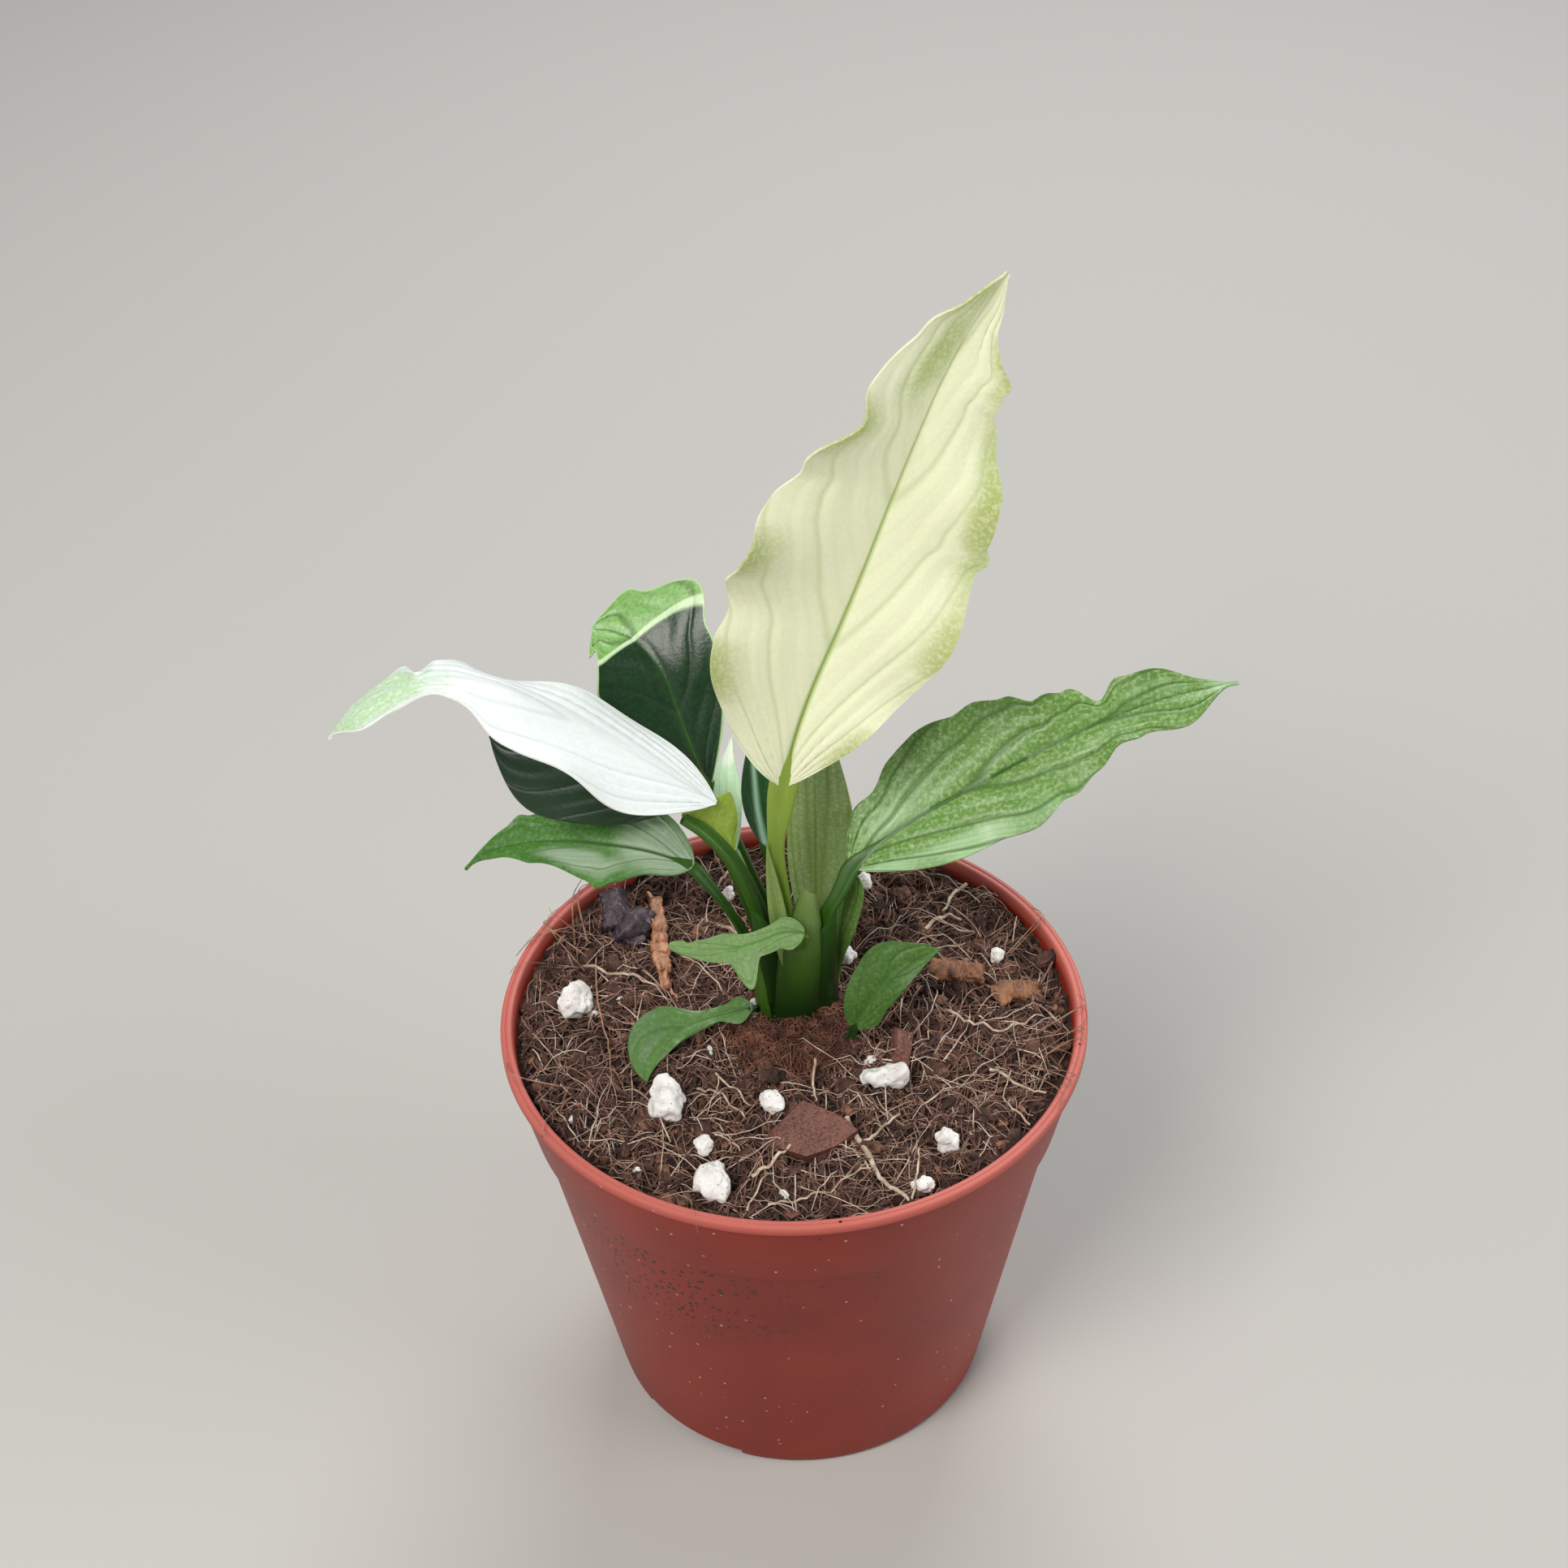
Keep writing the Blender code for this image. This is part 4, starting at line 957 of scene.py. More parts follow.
# The shaded leaf's near-black green is painted shade under the white leaf.
shade_green = leaf_tissue("shaded_bottle_green_leaf_tissue", "#102A12", "#1A4018", "#0B200C", "#1A3C14", "#143218",
                          "#1A3E1C", rib_width=0.6, gloss=0.4, vein_mix=0.4, grain=0.3, glow=0.1)
plant_leaf("shaded_leaf", dict(
    start=(-18.5, 13, 40.7), length=36, headings=(166, 165, 162, 161, 165), climbs=(19, 11, 9, 13, 16),
    halves=(11.2, 8.3), face=((290, 290), (56, 53)), fold=8, widest=0.6, base=0.6, tip=0.85,
    waves=(0.3, 2.3, 0.15, 0.5), veins=(5, 0.7), quilt=0.3,
    foot=crown_place(-3.9, 3.4), stem=[(-7.4, 8.6, 20), (-12.4, 11.4, 33)], thick=(1.3, 1.1, 0.9)),
    shade_green, dark_stalk, "dark_green_leaf_tissue", steps=80, cells=28)

# %% [markdown]
# In the middle a newer leaf stands upright, grey-green with olive stripes along it, a short bract beside
# it, and two narrow strips behind: one mint with a white tip, one dark with a pale heart.

# %% Upright leaf and strips
striped = leaf_tissue("striped_grey_green_leaf_tissue", "#839C5E", "#9CB07C", "#74883A", "#70853E", "#839648",
                      "#A6BA8C", rib_width=0.5, vein_width=0.22, gloss=0.45, vein_mix=0.6, grain=0.55)
plant_leaf("upright_leaf", dict(
    start=(4.3, 6.8, 12), length=54, headings=(88, 86, 82, 76, 71), climbs=(64, 82, 90, 88, 80),
    halves=(5.0, 7.2), face=((262, 260), (6, 8)), fold=0, widest=0.35, base=0.55, tip=1.1,
    waves=(0.2, 1.9, 0.39, 0.32), veins=(1.2, 3.2), quilt=0.35, channel=0.1,
    foot=crown_place(3.0, 3.6, 0.8), thick=(1.6, 1.5), clasp=0.4, rib_share=0.3),
    striped, olive_stalk, "pale_leaf_tissue", steps=90, cells=28)
olive_bract = leaf_tissue("olive_bract_tissue", "#7E9650", "#8FA468", "#66803A", "#6E8640", "#7A8E48", "#98AC70",
                          rib_width=0.3, gloss=0.45)
plant_leaf("bract_leaf", dict(
    start=(-1.0, -1.9, 13), length=30, headings=(180, 180, 180, 175, 170), climbs=(86, 84, 84, 84, 86),
    halves=(1.6, 1.6), face=((270, 270), (5, 5)), fold=20, widest=0.4, base=0.7, tip=1.1, veins=(1, 2.5),
    foot=crown_place(-1.2, -3.4, 0.8), thick=(1.1, 0.9), rib_share=0.2),
    olive_bract, olive_stalk, "pale_leaf_tissue", steps=50, cells=12)
mint = leaf_tissue("mint_leaf_tissue", "#BCE0BC", "#F0F6EA", "#A2CCA4", "#8FBE8C", "#D4EACC", "#DCF0D8",
                   rib_width=0.3, gloss=0.45, vein_mix=0.4)
plant_leaf("mint_leaf", dict(
    start=(-9.8, 7.6, 33), length=22, headings=(115, 110, 90, 70, 60), climbs=(70, 74, 76, 70, 60),
    halves=(2.4, 2.6), face=((275, 275), (15, 20)), fold=12, widest=0.45, base=0.7, tip=1.1, veins=(2, 1.5),
    patches=((1.0, 0.4, 0, 2, 1.2),),
    foot=crown_place(-1.9, 1.5), stem=[(-4.6, 5.2, 20)], thick=(0.9, 0.75), rib_share=0.3),
    mint, mint_stalk, "pale_leaf_tissue", steps=50, cells=14)
hearted = leaf_tissue("pale_hearted_leaf_tissue", "#1E4A22", "#8CC49A", "#163A18", "#B4DCC0", "#1E4A22", "#2C6030",
                      rib_width=1.1, gloss=0.4, vein_mix=0.3)
plant_leaf("green_back_leaf", dict(
    start=(-4.2, 12, 31), length=21, headings=(125, 115, 100, 100, 100), climbs=(66, 68, 72, 74, 74),
    halves=(2.6, 2.8), face=((275, 275), (15, 20)), fold=14, widest=0.45, base=0.7, tip=1.1, veins=(2, 1.5),
    foot=crown_place(0.9, 4.4), stem=[(-1.4, 9.8, 20)], thick=(0.85, 0.75), rib_share=0.3),
    hearted, dark_stalk, "green_leaf_tissue", steps=50, cells=14)

# %% [markdown]
# At the foot are three small leaves: one that curls in front of the crown, and two low ones that hang over
# the mix to the left and the right. They are plain fresh green with faint lighter stripes.

# %% Small leaves at the foot
fresh = leaf_tissue("fresh_green_leaf_tissue", "#718F58", "#8EA872", "#4C7A30", "#4E7E32", "#74A050", "#8AB068",
                    rib_width=0.5, gloss=0.42, vein_mix=0.5, grain=0.45)
plant_leaf("front_leaf", dict(
    start=(2.2, -4.6, 25.0), length=24.5, headings=(186, 208, 198, 184, 176), climbs=(24, -4, 2, 12, 10),
    halves=(2.6, 1.9), face=((270, 268, 266), (28, 50, 58)), fold=(8, -14, -6, 6), widest=0.3, base=0.4,
    tip=0.38, waves=(0.4, 2.2, 0.2, 0.6), veins=(4, 0.8), quilt=0.2,
    nicks=((-1, 0.48, 0.115, 2.0), (1, 0.6, 0.2, 0.5), (1, 0.86, 0.06, -0.25), (1, 0.12, 0.14, 0.55),
           (-1, 0.08, 0.16, 0.45)), rib_share=0,
    foot=plug_place(0.4, -0.6, 1.2), stem=[(0.8, -0.8, 14)], thick=(1.6, 1.2, 0.7), wing=0.3),
    fresh, olive_stalk, "green_leaf_tissue", steps=80, cells=26)
meadow = leaf_tissue("meadow_green_leaf_tissue", "#52753C", "#789A5E", "#3E662C", "#42692E", "#5E8C42", "#6F9C54",
                     rib_width=0.45, gloss=0.4, vein_mix=0.5, grain=0.4)
plant_leaf("left_seed_leaf", dict(
    start=(-7.4, -1.6, 5.0), length=26, headings=(190, 196, 206, 231, 284), climbs=(-8, -4, -5, -18, -24),
    halves=(2.3, 5.4), face=((290, 294, 300), (60, 65, 52)), fold=9, widest=0.7, base=1.1, tip=0.9,
    waves=(0.8, 1.7, 0.55, 1.08), scallop=0.05, veins=(4, 0.8), quilt=0.2,
    nicks=((1, 0.34, 0.24, -0.3), (-1, 0.1, 0.16, 0.9), (1, 0.06, 0.12, 0.3)),
    foot=plug_place(-7.3, 0.5, 1.2), thick=(1.0, 0.7), rib_share=0.5),
    meadow, dark_stalk, "green_leaf_tissue", steps=80, cells=26)
deep = leaf_tissue("deep_green_leaf_tissue", "#3F6424", "#5E8238", "#365F18", "#3B661C", "#55832E", "#669240",
                   rib_width=0.45, gloss=0.5, vein_mix=0.5, grain=0.4)
plant_leaf("right_seed_leaf", dict(
    start=(10.6, -6.8, 4.3), length=23, headings=(12, 13, 13, 13, 13), climbs=(66, 60, 50, 26, 6),
    halves=(5.6, 3.6), face=((267, 262, 262), (36, 47, 50)), fold=9, widest=0.5, base=0.55, tip=1.1,
    waves=(0.5, 1.5, 0.2, 0.5), veins=(4, 0.8), quilt=0.25, nicks=((-1, 0.62, 0.2, 0.12), (1, 0.14, 0.2, 0.3)),
    foot=plug_place(10.0, -7.2, 0.3), thick=(0.9, 0.7), rib_share=0.3),
    deep, dark_stalk, "green_leaf_tissue", steps=80, cells=26)

# %% [markdown]
# At the soil the petioles widen into sheaths that wrap one another: an olive one in front, a dark one each
# side, a pale flap at the lower left, and one that closes the back. A sheath is a bent sheet. Each row below
# is one level: centre x and y, height, half width, half depth, and the angles between which it runs.

# %% Crown sheaths
def sheath(name, rings, material, *nodes, lean=0.0, steps=44, cells=26):
    """A bent sheet around the crown; lean makes one end of its upper edge higher."""
    bpy.ops.mesh.primitive_grid_add(x_subdivisions=steps, y_subdivisions=cells, size=2)
    sheet = bpy.context.object
    for vertex in sheet.data.vertices:
        share, turn = (vertex.co.x + 1) / 2, (vertex.co.y + 1) / 2
        x, y, z, wide, deep, first, last = [eased(column, share) for column in zip(*rings)]
        angle = math.radians(first + (last - first) * turn)
        rise = lean * share * share * (turn - 0.5) - 1.6 * (2 * turn - 1) ** 4 * share
        vertex.co = Vector((x + wide * math.cos(angle), y + deep * math.sin(angle), SOIL_LEVEL + z + rise)) * MM
    apply(sheet, "SOLIDIFY", thickness=0.0006, offset=0)
    apply(sheet, "SMOOTH", factor=0.5, iterations=3)
    return keep(sheet, name, material, "green_stalk_tissue", *nodes, angle=60)


# Their near-black feet are painted shade deep in the crown.
olive_sheath = stalk_tissue("olive_sheath_skin", "#12300A", "#41641C", "#7A9450", high=114)
dark_sheath = stalk_tissue("dark_sheath_skin", "#0F2906", "#1A420C", "#2C5A16", high=112)
pale_sheath = stalk_tissue("pale_sheath_skin", "#35591A", "#5B7A28", "#93AE58", high=108)
sheath("front_crown_sheath", [
    (0.5, 2.0, 0.8, 5.4, 4.8, 190, 350), (0.5, 1.9, 6, 5.0, 4.8, 190, 350), (0.8, 1.7, 12, 4.6, 4.7, 192, 348),
    (1.3, 1.4, 18, 4.1, 4.3, 194, 346), (2.3, 1.6, 24, 3.0, 3.2, 197, 343), (3.3, 2.2, 30, 1.1, 1.6, 200, 340)],
    olive_sheath, "crown", lean=-2)
sheath("left_crown_sheath", [
    (-2.8, 3.2, 0.8, 3.8, 4.6, 120, 315), (-3.0, 3.0, 7, 3.4, 4.4, 120, 315), (-3.4, 2.6, 14, 2.9, 3.8, 120, 310),
    (-4.2, 1.6, 21, 2.4, 2.9, 125, 305), (-5.2, 1.2, 27, 2.0, 2.1, 130, 300)], dark_sheath, lean=-3)
sheath("right_crown_sheath", [
    (4.6, 3.4, 0.8, 3.4, 4.4, 225, 420), (4.8, 3.2, 8, 3.0, 4.2, 228, 415), (5.0, 2.8, 16, 2.6, 3.6, 232, 410),
    (5.5, 2.2, 24, 2.1, 2.6, 235, 410)], dark_sheath, lean=4)
sheath("lower_left_flap", [
    (-3.2, 2.4, 0.8, 3.4, 3.6, 185, 262), (-3.4, 1.8, 5, 3.3, 3.6, 180, 258), (-3.6, 1.4, 10, 2.9, 3.2, 180, 250),
    (-3.8, 1.2, 15, 2.2, 2.5, 185, 240)], pale_sheath, lean=-2)
sheath("back_crown_sheath", [
    (1.0, 3.6, 0.8, 6.4, 5.2, -20, 200), (0.8, 3.8, 8, 5.6, 4.8, -10, 190), (0.6, 4.4, 16, 4.6, 4.0, 0, 180)],
    dark_sheath, lean=2)

# %% Wings of the petioles
wing = leaf_tissue("olive_petiole_wing_tissue", "#8EA63A", "#A2B54C", "#7E9630", "#7E9630", "#8EA63A", "#AEC062",
                   rib_width=0.3, gloss=0.42)
keep(make_blade("white_wing", dict(
    start=(-9.4, 1.9, 38.0), length=11.8, headings=(180, 180), climbs=(67, 67), halves=(4.8, 4.6),
    face=((270, 270), (24, 24)), fold=-12, widest=0.94, base=1.1, tip=0.12, waves=(0.3, 1, 0, 0.5), veins=(2, 0.5),
    channel=0), 40, 20), "white_petiole_wing", wing, "pale_leaf_tissue", angle=50)
pale_wing = leaf_tissue("pale_green_sheath_tissue", "#587C32", "#7E9E58", "#4A6C2A", "#4A6E26", "#587C32", "#86A668",
                        rib_width=0.3, gloss=0.42)
keep(make_blade("right_wing", dict(
    start=(8.0, 4.4, 2.5), length=28.5, headings=(0, 0, 0, 0, 20), climbs=(90, 90, 84, 82, 84), halves=(1.6, 3.4),
    face=((275, 275), (14, 14)), fold=22, widest=0.82, base=1.7, tip=0.35, waves=(0.3, 1.5, 0.2, 0.5),
    veins=(1.5, 2.5), channel=0.1), 60, 22), "right_petiole_sheath", pale_wing, "pale_leaf_tissue", angle=50)

# %% [markdown]
# Perlite is volcanic glass popped like corn: light, chalky white and lumpy, with soil caught in its pits.
# Each grain starts as a ball in the measured grain's box. Two displacements pull it into lobes and pits;
# their textures lie still in space while the grains differ in place, so no two come out alike.

# %% Perlite finish and chunk maker
perlite, tree, shader = finish("expanded_perlite_glass_foam", Roughness=0.85, Subsurface_Weight=0.1,
                               Subsurface_Scale=0.001)
place = add(tree, "TexCoord").outputs["Object"]
pits = add(tree, "TexVoronoi", {"Vector": place, "Scale": 1500.0})
dot = ranged(tree, pits, 0.10, 0.20, 1.0, 0.0)
picked = add(tree, "SeparateColor", {0: pits.outputs["Color"]})
some = calc(tree, "LESS_THAN", picked, 0.42)
spots = calc(tree, "MULTIPLY", dot, some)
cloud = add(tree, "TexNoise", {"Vector": place, "Scale": 350.0, "Detail": 4.0})
chalk = add(tree, "ValToRGB", {"Fac": cloud}, stops=[(0.32, "#D2CDC8"), (0.55, "#ECEAE7")])
dusted = blend(tree, spots, chalk, "#38312D")
tint(tree, shader, dusted)
roughen(tree, shader, cloud, 0.6, 0.0003)


def swollen(obj, kind, cell, strength):
    """Displaces obj along its normals by a texture that lies still in space; cell and strength in millimetres."""
    texture = bpy.data.textures.new(kind.lower(), kind)
    texture.noise_scale = cell * MM
    apply(obj, "DISPLACE", texture=texture, texture_coords="GLOBAL", strength=strength * MM, mid_level=0.5)
    bpy.data.textures.remove(texture)


def chunk(node, cell, strength, pit=0.0, detail=5):
    """A lumpy ball inside the box of a measured node."""
    low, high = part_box(node)
    bpy.ops.mesh.primitive_ico_sphere_add(subdivisions=detail, radius=0.5, location=(low + high) / 2,
                                          scale=high - low)
    obj = bpy.context.object
    bpy.ops.object.transform_apply(location=True, rotation=True, scale=True)
    swollen(obj, "CLOUDS", cell, strength)
    if pit:
        swollen(obj, "VORONOI", pit, pit * 0.3)
    return obj


for count in range(1, 13):
    node = f"perlite_{count:02d}"
    low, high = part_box(node)
    size = (high - low).x / MM
    keep(chunk(node, 0.62 * size, 0.62 * size, pit=1.9), f"popped_{node}", perlite, "expanded_perlite", node,
         angle=55)

# %% Small perlite grains
lumps("perlite_fines", 14, 26, (0.4, 1.0), 0.8, perlite, "expanded_perlite", places=[
    (-35.9, 2.3, 2.6), (13.4, -11.4, 2.6), (11.8, -12.6, 2.0), (-6.6, 1.7, 2.8), (-7.2, -0.4, 2.2),
    (-2.3, -41.5, 2.4),
    (-27.1, -36.1, 1.9), (-15.0, -7.8, 2.6), (30.3, -29.1, 2.0), (-38.5, -24.0, 1.8), (-31.5, 6.0, 1.8),
    (37.2, -22.0, 1.4), (-40.5, -21.5, 1.2), (24.0, -44.0, 1.3)], detail=3)

# %% [markdown]
# Bark breaks into flat, angular pieces. Each starts as a slab of the real chip's length, width and height,
# cut into a grid; a few slanting cuts take its corners off, and a fine displacement roughens what is left.

# %% Bark chips
def chip(node, size, tilt, cuts, rough=0.5):
    """An angular chip. cuts are planes: a normal's heading and climb, and its distance as a share of the size."""
    low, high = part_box(node)
    bpy.ops.mesh.primitive_cube_add(size=1)
    obj = bpy.context.object
    bpy.ops.object.mode_set(mode="EDIT")
    bpy.ops.mesh.subdivide(number_cuts=15)
    for heading, climb, far in cuts:
        bpy.ops.mesh.select_all(action="SELECT")
        normal = direction(heading, climb)
        bpy.ops.mesh.bisect(plane_co=normal * far, plane_no=normal, use_fill=True, clear_outer=True)
    bpy.ops.mesh.select_all(action="SELECT")
    bpy.ops.mesh.quads_convert_to_tris()
    bpy.ops.mesh.subdivide(number_cuts=1)
    bpy.ops.mesh.normals_make_consistent(inside=False)
    bpy.ops.object.mode_set(mode="OBJECT")
    obj.scale = [side * MM for side in size]
    obj.rotation_euler = [math.radians(angle) for angle in tilt]
    obj.location = (low + high) / 2
    bpy.ops.object.transform_apply(location=True, rotation=True, scale=True)
    swollen(obj, "CLOUDS", 1.6, rough)
    return obj


print("chip maker ready")

# %% [markdown]
# Pine bark is dull and layered, red-brown inside and nearly black where it has charred. The finish draws
# its layers as a stretched noise, with a pale film on the faces that look up: partly dust and partly a
# painted highlight.

# %% Bark finishes
def bark(name, dark, light, dust, share=0.5, along=(1, 0.2, 1), rough=0.8):
    """Layered bark with a pale film on its upper faces, partly dust and partly a painted highlight."""
    made, tree, shader = finish(name, Roughness=rough)
    place = add(tree, "TexCoord").outputs["Object"]
    bent = add(tree, "Mapping", {0: place, "Rotation": (0, 0, 0.5), "Scale": along})
    layers = add(tree, "TexNoise", {"Vector": bent, "Scale": 900.0, "Detail": 4.0,
                                              "Distortion": 0.6})
    tone = add(tree, "ValToRGB", {"Fac": layers}, stops=[(0.36, dark), (0.62, light)])
    # Faces that look up get a pale film: partly dust, partly a painted highlight from the lamps above.
    facing = add(tree, "SeparateXYZ", {0: add(tree, "TexCoord").outputs["Normal"]})
    grit = add(tree, "TexNoise", {"Vector": place, "Scale": 2200.0, "Detail": 3.0})
    lies = calc(tree, "MULTIPLY", facing.outputs["Z"], grit)
    upward_dust_and_highlight = add(tree, "MapRange", {"Value": lies, "From Min": 0.3, "From Max": 0.62,
                                            "To Max": share})
    dusty = blend(tree, upward_dust_and_highlight, tone, dust)
    tint(tree, shader, dusty)
    roughen(tree, shader, layers, 0.7, 0.0004)
    return made


red_bark = bark("red_pine_bark_with_dust_and_painted_highlight", "#43231B", "#67382C", "#8E665A", share=0.6)
charred = bark("charred_pine_bark_chunk", "#2A2229", "#4A3C45", "#85757C", share=0.4, rough=0.5)
orange_bark = bark("orange_inner_bark", "#4E2C1E", "#94603F", "#A98A72", share=0.35)

# %% Six pieces of bark
CHIPS = [
    ("bark_flat_front", (14.0, 12.0, 1.8), (6, -5, 40), red_bark, "pine_bark", 0.6,
     ((205, 0, 0.36), (150, 10, 0.40), (250, 0, 0.42), (100, 5, 0.38), (20, 0, 0.42), (0, 80, 0.36))),
    ("bark_dark_long", (5.0, 10.4, 4.2), (0, 10, 10), charred, "charred_pine_bark", 2.0,
     ((0, 40, 0.42), (180, 50, 0.40), (80, 20, 0.44), (255, 30, 0.42), (130, 30, 0.45))),
    ("bark_dark_short", (6.2, 7.6, 4.8), (8, 0, -20), charred, "charred_pine_bark", 2.0,
     ((10, 40, 0.40), (200, 35, 0.38), (110, 45, 0.42), (290, 20, 0.40), (240, 60, 0.44))),
    ("bark_orange_chip", (10.0, 5.0, 1.8), (0, 0, -12), orange_bark, "knotted_rootwood", 2.2,
     ((30, 20, 0.40), (170, 30, 0.38), (250, 50, 0.36), (90, 40, 0.36))),
    ("bark_right_flake", (8.6, 5.4, 1.6), (0, 8, 20), orange_bark, "knotted_rootwood", 2.2,
     ((60, 20, 0.36), (140, 30, 0.38), (200, 20, 0.40), (320, 45, 0.36))),
    ("bark_red_flake", (3.8, 9.2, 2.4), (0, 0, -8), red_bark, "pine_bark", 0.6,
     ((80, 20, 0.42), (260, 20, 0.40), (20, 40, 0.38), (190, 30, 0.38))),
]
for node, size, tilt, material, slot, rough, cuts in CHIPS:
    keep(chip(node, size, tilt, cuts, rough), f"{node}_chip", material, slot, node, angle=40 if rough < 1 else 75)

# %% [markdown]
# A piece of orange rootwood lies on the left, thick at its knots and frayed at its ends. Round rings of
# uneven width are laid along its line and displacements fray them; loose splinters stand off the sides.

# %% Knotted rootwood
def strand(points, radius, thin=0.4, steps=7, sway=0.5):
    """A line over the mix through (x, y, height above the ground) points, thinning to one end."""
    line = [Vector((x + sway * noise.noise(Vector((x / 2, y / 2, 1))),
                    y + sway * noise.noise(Vector((x / 2, y / 2, 8))), ground(x, y) + up + radius))
            for x, y, up in smooth(points, steps)]
    last = len(line) - 1
    return [(place, radius * (1 - thin * count / last)) for count, place in enumerate(line)]


stick_line = strand([(-25.6, 33.2, 1.4), (-24.9, 24, 1.0), (-24.0, 15, 1.0), (-23.2, 6.4, 0.6)], 1.2, 0, 16)
KNOTS = (1.1, 0.95, 1.25, 1.1, 1.4, 1.25, 1.4, 1.55, 1.4, 1.3, 1.05, 1.1, 0.8, 0.85, 0.5)
rings = []
for count, (place, radius) in enumerate(stick_line[:-1]):
    along = (stick_line[count + 1][0] - place).normalized()
    wide = eased(KNOTS, count / len(stick_line)) * 1.15
    rings.append(oval(place, along, Vector((0, 0, 1)), wide, wide * 0.8, sides=24))
stick = skin_over("stick", rings)
apply(stick, "SUBSURF", levels=1)
swollen(stick, "CLOUDS", 1.5, 0.9)
swollen(stick, "CLOUDS", 0.5, 0.5)
rootwood = bark("knotted_orange_rootwood", "#74422E", "#C48A66", "#D6B49A", share=0.45, along=(1, 0.12, 1))
keep(stick, "knotted_rootwood_stick", rootwood, "knotted_rootwood", "rootwood_stick", angle=60)
splinters = cords("splinters", [
    strand([(-25.0, 26, 1.4), (-26.2, 31, 1.8), (-27.0, 35.0, 1.2)], 0.6),
    strand([(-23.4, 10, 0.6), (-21.8, 6.6, 0.6), (-21.4, 4.6, 0.3)], 0.4),
    strand([(-24.8, 20, 1.6), (-25.8, 25, 2.2), (-27.4, 30, 1.8)], 0.35)], sides=1)
keep(splinters, "rootwood_splinters", rootwood, "knotted_rootwood", angle=60)

# %% [markdown]
# The longest straws are laid one by one where they catch the eye: a forked one at the front, a thin upright one
# at the left, an arc at the right, and short ones near the rim. A few fibres also hang over the rim.

# %% Laid straws
straw_husk = woody("pale_coir_straw", "#97806C", "#D6C4AE", 2.0, 0.75)
russet_husk = woody("russet_coir_straw", "#7C5842", "#B48E70", 2.0, 0.75)
STRAWS = [
    ("straw_forked", [([(8.6, -25.6, 0.9), (11.4, -33, 0.5), (14.4, -40, 0.5), (18.6, -44.6, 0.3)], 0.75),
                      ([(10.8, -32.4, 0.6), (13.6, -29.4, 1.4), (17.6, -26.0, 2.0)], 0.45),
                      ([(8.6, -25.6, 0.5), (10.4, -34, 0.2), (13.8, -41, 0.2)], 0.45)]),
    ("straw_left", [([(-36.4, 18.4, 0.9), (-35.4, 4, 1.8), (-33, -7, 1.4), (-32.2, -16.4, 0.6)], 0.26)]),
    ("straw_right_arc", [([(27.3, 1.2, 0.6), (32.1, -4.2, 1.2), (38, -5.6, 1.6), (45.4, -0.6, 0.8)], 0.36),
                         ([(30.0, 0.4, 0.6), (36.0, -2.8, 1.2), (44.6, 2.2, 0.8)], 0.22)]),
    ("straw_back", [([(33.4, 36.0, 0.8), (31.0, 32.6, 1.0), (28.6, 27.0, 0.6)], 0.6),
                    ([(25.0, 22.6, 0.8), (28.4, 25.4, 1.4), (31.6, 25.0, 0.8)], 0.55)]),
    ("straw_rim", [([(34.0, -15.0, 0.6), (39.0, -18.0, 0.9), (43.6, -20.4, 1.0)], 0.42),
                   ([(40.0, -27.4, 0.6), (36.0, -22.0, 1.2), (38.0, -15.0, 0.8)], 0.28)]),
    ("straw_behind", [([(-11.6, 42.0, 0.8), (-12.6, 38.6, 1.2), (-14.0, 35.8, 0.8)], 0.5)]),
    ("straw_front", [([(-5.0, -45.6, 0.8), (2.4, -43.2, 1.0), (9.0, -38.8, 1.0), (12.4, -37.6, 0.8)], 0.3),
                     ([(-16.6, -27.0, 0.6), (-10.6, -30.8, 0.8), (-9.4, -34.0, 0.6)], 0.22)]),
]
for node, lines in STRAWS:
    straw = cords(node, [strand(points, radius * 0.72, sway=0.28) for points, radius in lines], sides=2)
    husk = russet_husk if node == "straw_left" else straw_husk
    keep(straw, f"{node}_reed", husk, "coir_straw", node, angle=60)
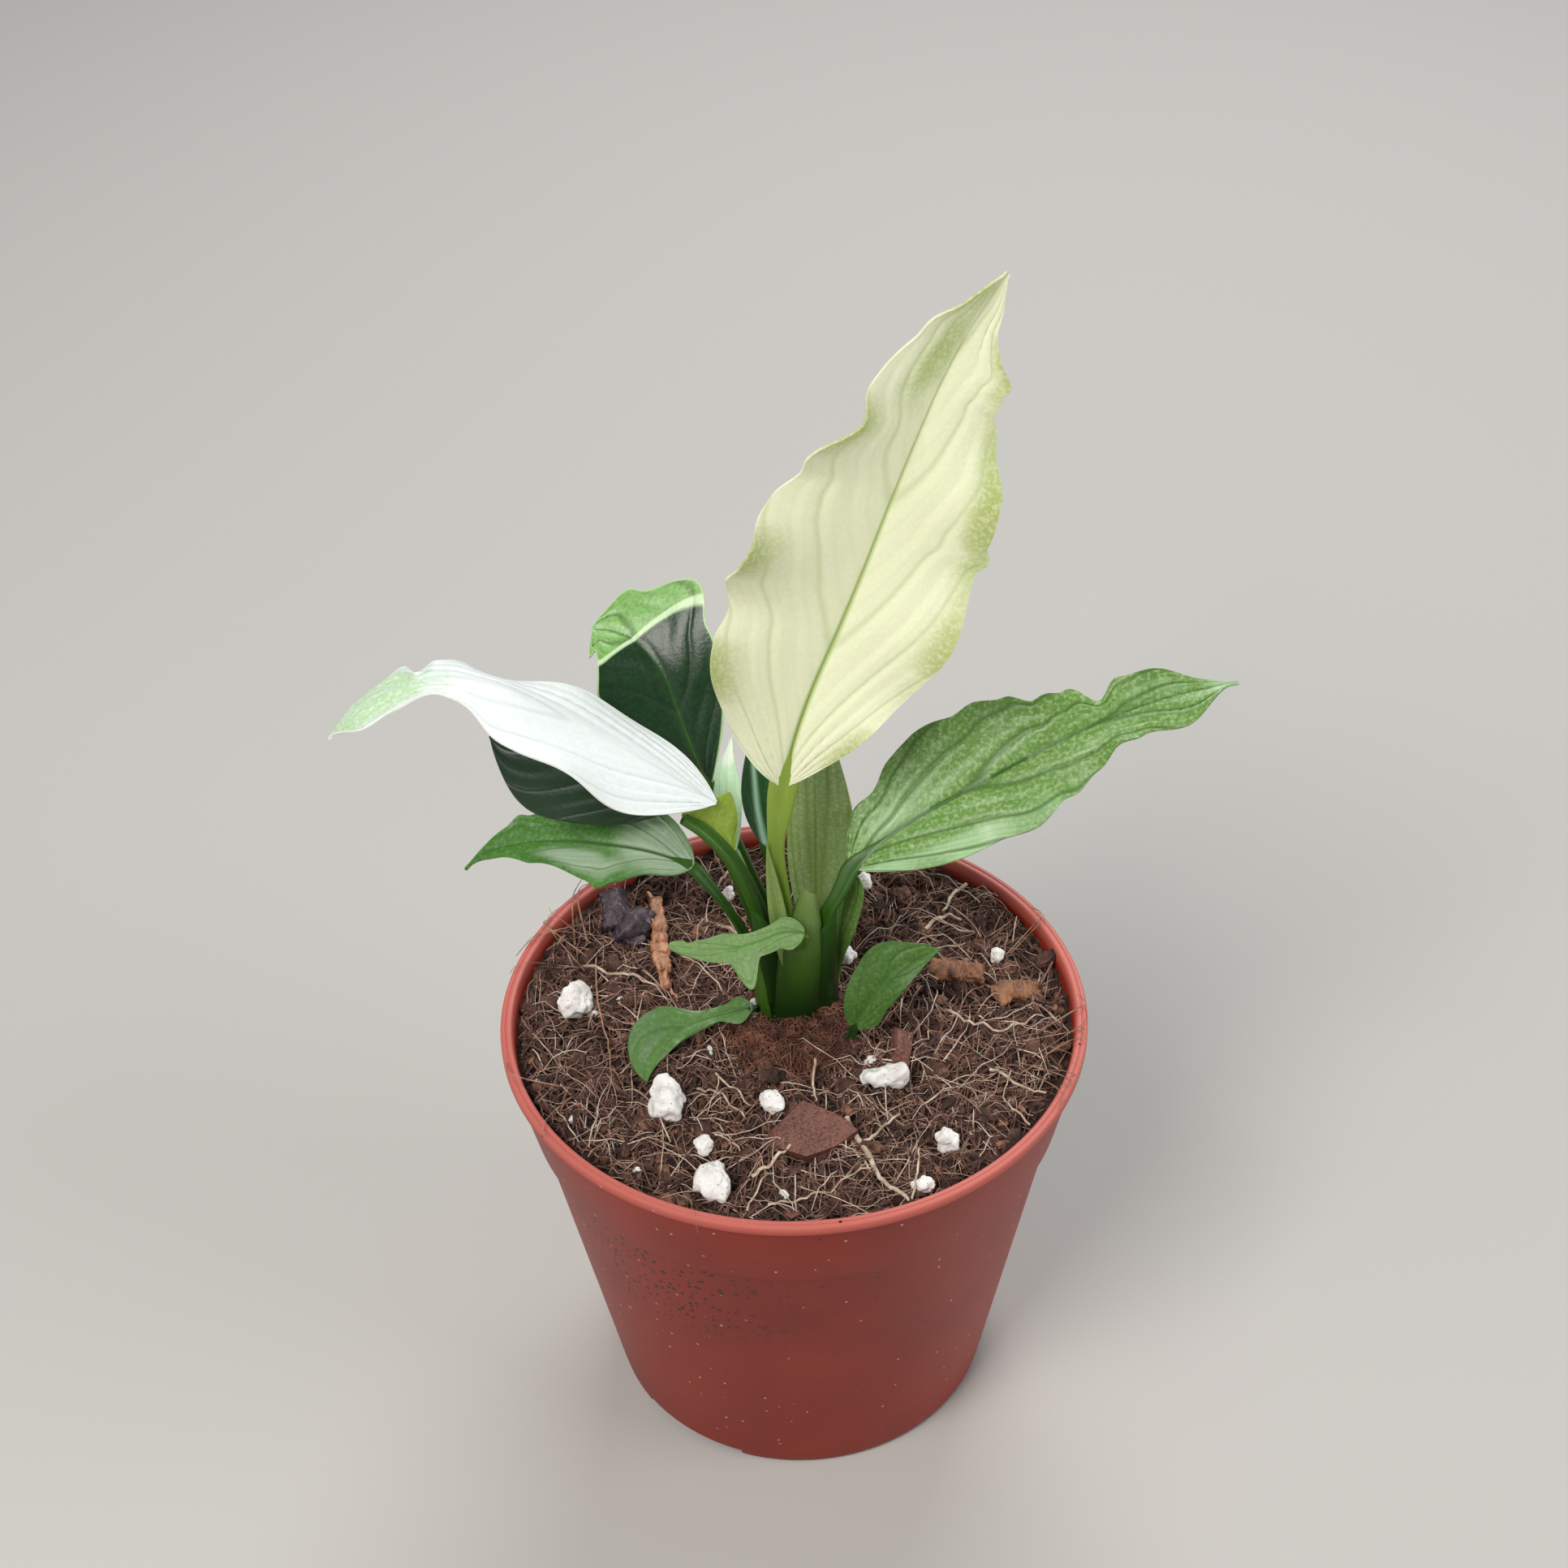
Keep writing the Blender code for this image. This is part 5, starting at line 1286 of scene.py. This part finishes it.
more = [([(-21.0, -2.4, 0.8), (-14.2, -0.8, 1.4), (-9.0, 3.6, 1.0)], 0.22),
        ([(-17.2, -16.6, 0.8), (-13.4, -19.0, 1.0), (-8.6, -25.2, 0.8)], 0.42),
        ([(-13.8, -14.4, 0.8), (-10.0, -19.6, 1.2), (-7.4, -22.8, 0.8)], 0.36),
        ([(3.4, -13.6, 1.6), (3.0, -18.4, 2.0), (3.6, -21.6, 1.4)], 0.42),
        ([(-38.4, 14.8, 0.8), (-31.0, 12.0, 1.2), (-24.6, 8.8, 1.0)], 0.5),
        ([(-8.6, -46.4, 0.8), (-6.6, -41.6, 1.6), (-4.2, -37.4, 1.0)], 0.34),
        ([(-7.8, -38.0, 0.8), (-3.4, -35.4, 1.4), (-1.2, -32.4, 0.8)], 0.6),
        ([(19.0, -44.8, 0.8), (20.4, -38.0, 1.8), (20.6, -33.4, 1.2)], 0.36),
        ([(-14.0, 25.8, 0.8), (-8.6, 20.6, 1.4), (-7.0, 17.0, 1.0)], 0.6),
        ([(-12.6, 31.6, 0.8), (-12.0, 26.4, 1.6), (-9.8, 23.2, 1.0)], 0.5),
        ([(17.4, 9.8, 0.8), (16.0, 4.8, 1.4), (13.8, 1.6, 0.8)], 0.2),
        ([(24.0, -6.0, 0.8), (16.0, -10.6, 2.2), (10.8, -5.0, 1.8)], 0.18),
        ([(20.2, 15.6, 0.8), (27.0, 21.0, 1.6), (35.0, 12.0, 0.8)], 0.24)]
keep(cords("more_straws", [strand(points, radius * 0.6) for points, radius in more], sides=1), "fine_coir_straws",
     straw_husk, "coir_straw", angle=60)

# %% Fibres over the rim
def over_rim(turn, sweep, radius, out, drop, thick):
    """A fibre that starts on the mix, crosses the rim at an angle, and ends outside it."""
    line = []
    for away, height, share in ((radius, SOIL_LEVEL + 1.5, 0), (49.6, RIM_TOP + 0.6, 0.5),
                                (52.0, RIM_TOP + 0.7, 0.75), (52.2 + out, RIM_TOP + 0.5 - drop, 1)):
        at = math.radians(turn + sweep * share)
        line.append((away * math.cos(at), away * math.sin(at), height))
    places = smooth(line, 6)
    return [(place, thick * (1 - 0.5 * count / len(places))) for count, place in enumerate(places)]


dice = random.Random(31)
hairs = [over_rim(turn + dice.uniform(-5, 5), dice.uniform(-26, 26), dice.uniform(40, 46), dice.uniform(-1.6, 1.0),
                  dice.uniform(-0.8, 0.4), dice.uniform(0.08, 0.18))
         for turn in (148, 150, 151, 152, 154, 155, 157, 160, 144, 139)]
hairs += [over_rim(turn + dice.uniform(-4, 4), dice.uniform(-16, 16), dice.uniform(40, 46), dice.uniform(-1.6, 0.4),
                   dice.uniform(-0.6, 0.3), dice.uniform(0.08, 0.16)) for turn in (-14, -18, 352, 342, 20, 210) * 2]
hairs.append(over_rim(246, 6, 47, 0.6, 5.5, 0.09))
keep(cords("hairs", hairs), "rim_coir_hairs", woody("rim_coir_husk", "#5A3A2C", "#B08E76"), "coir_straw", angle=60)
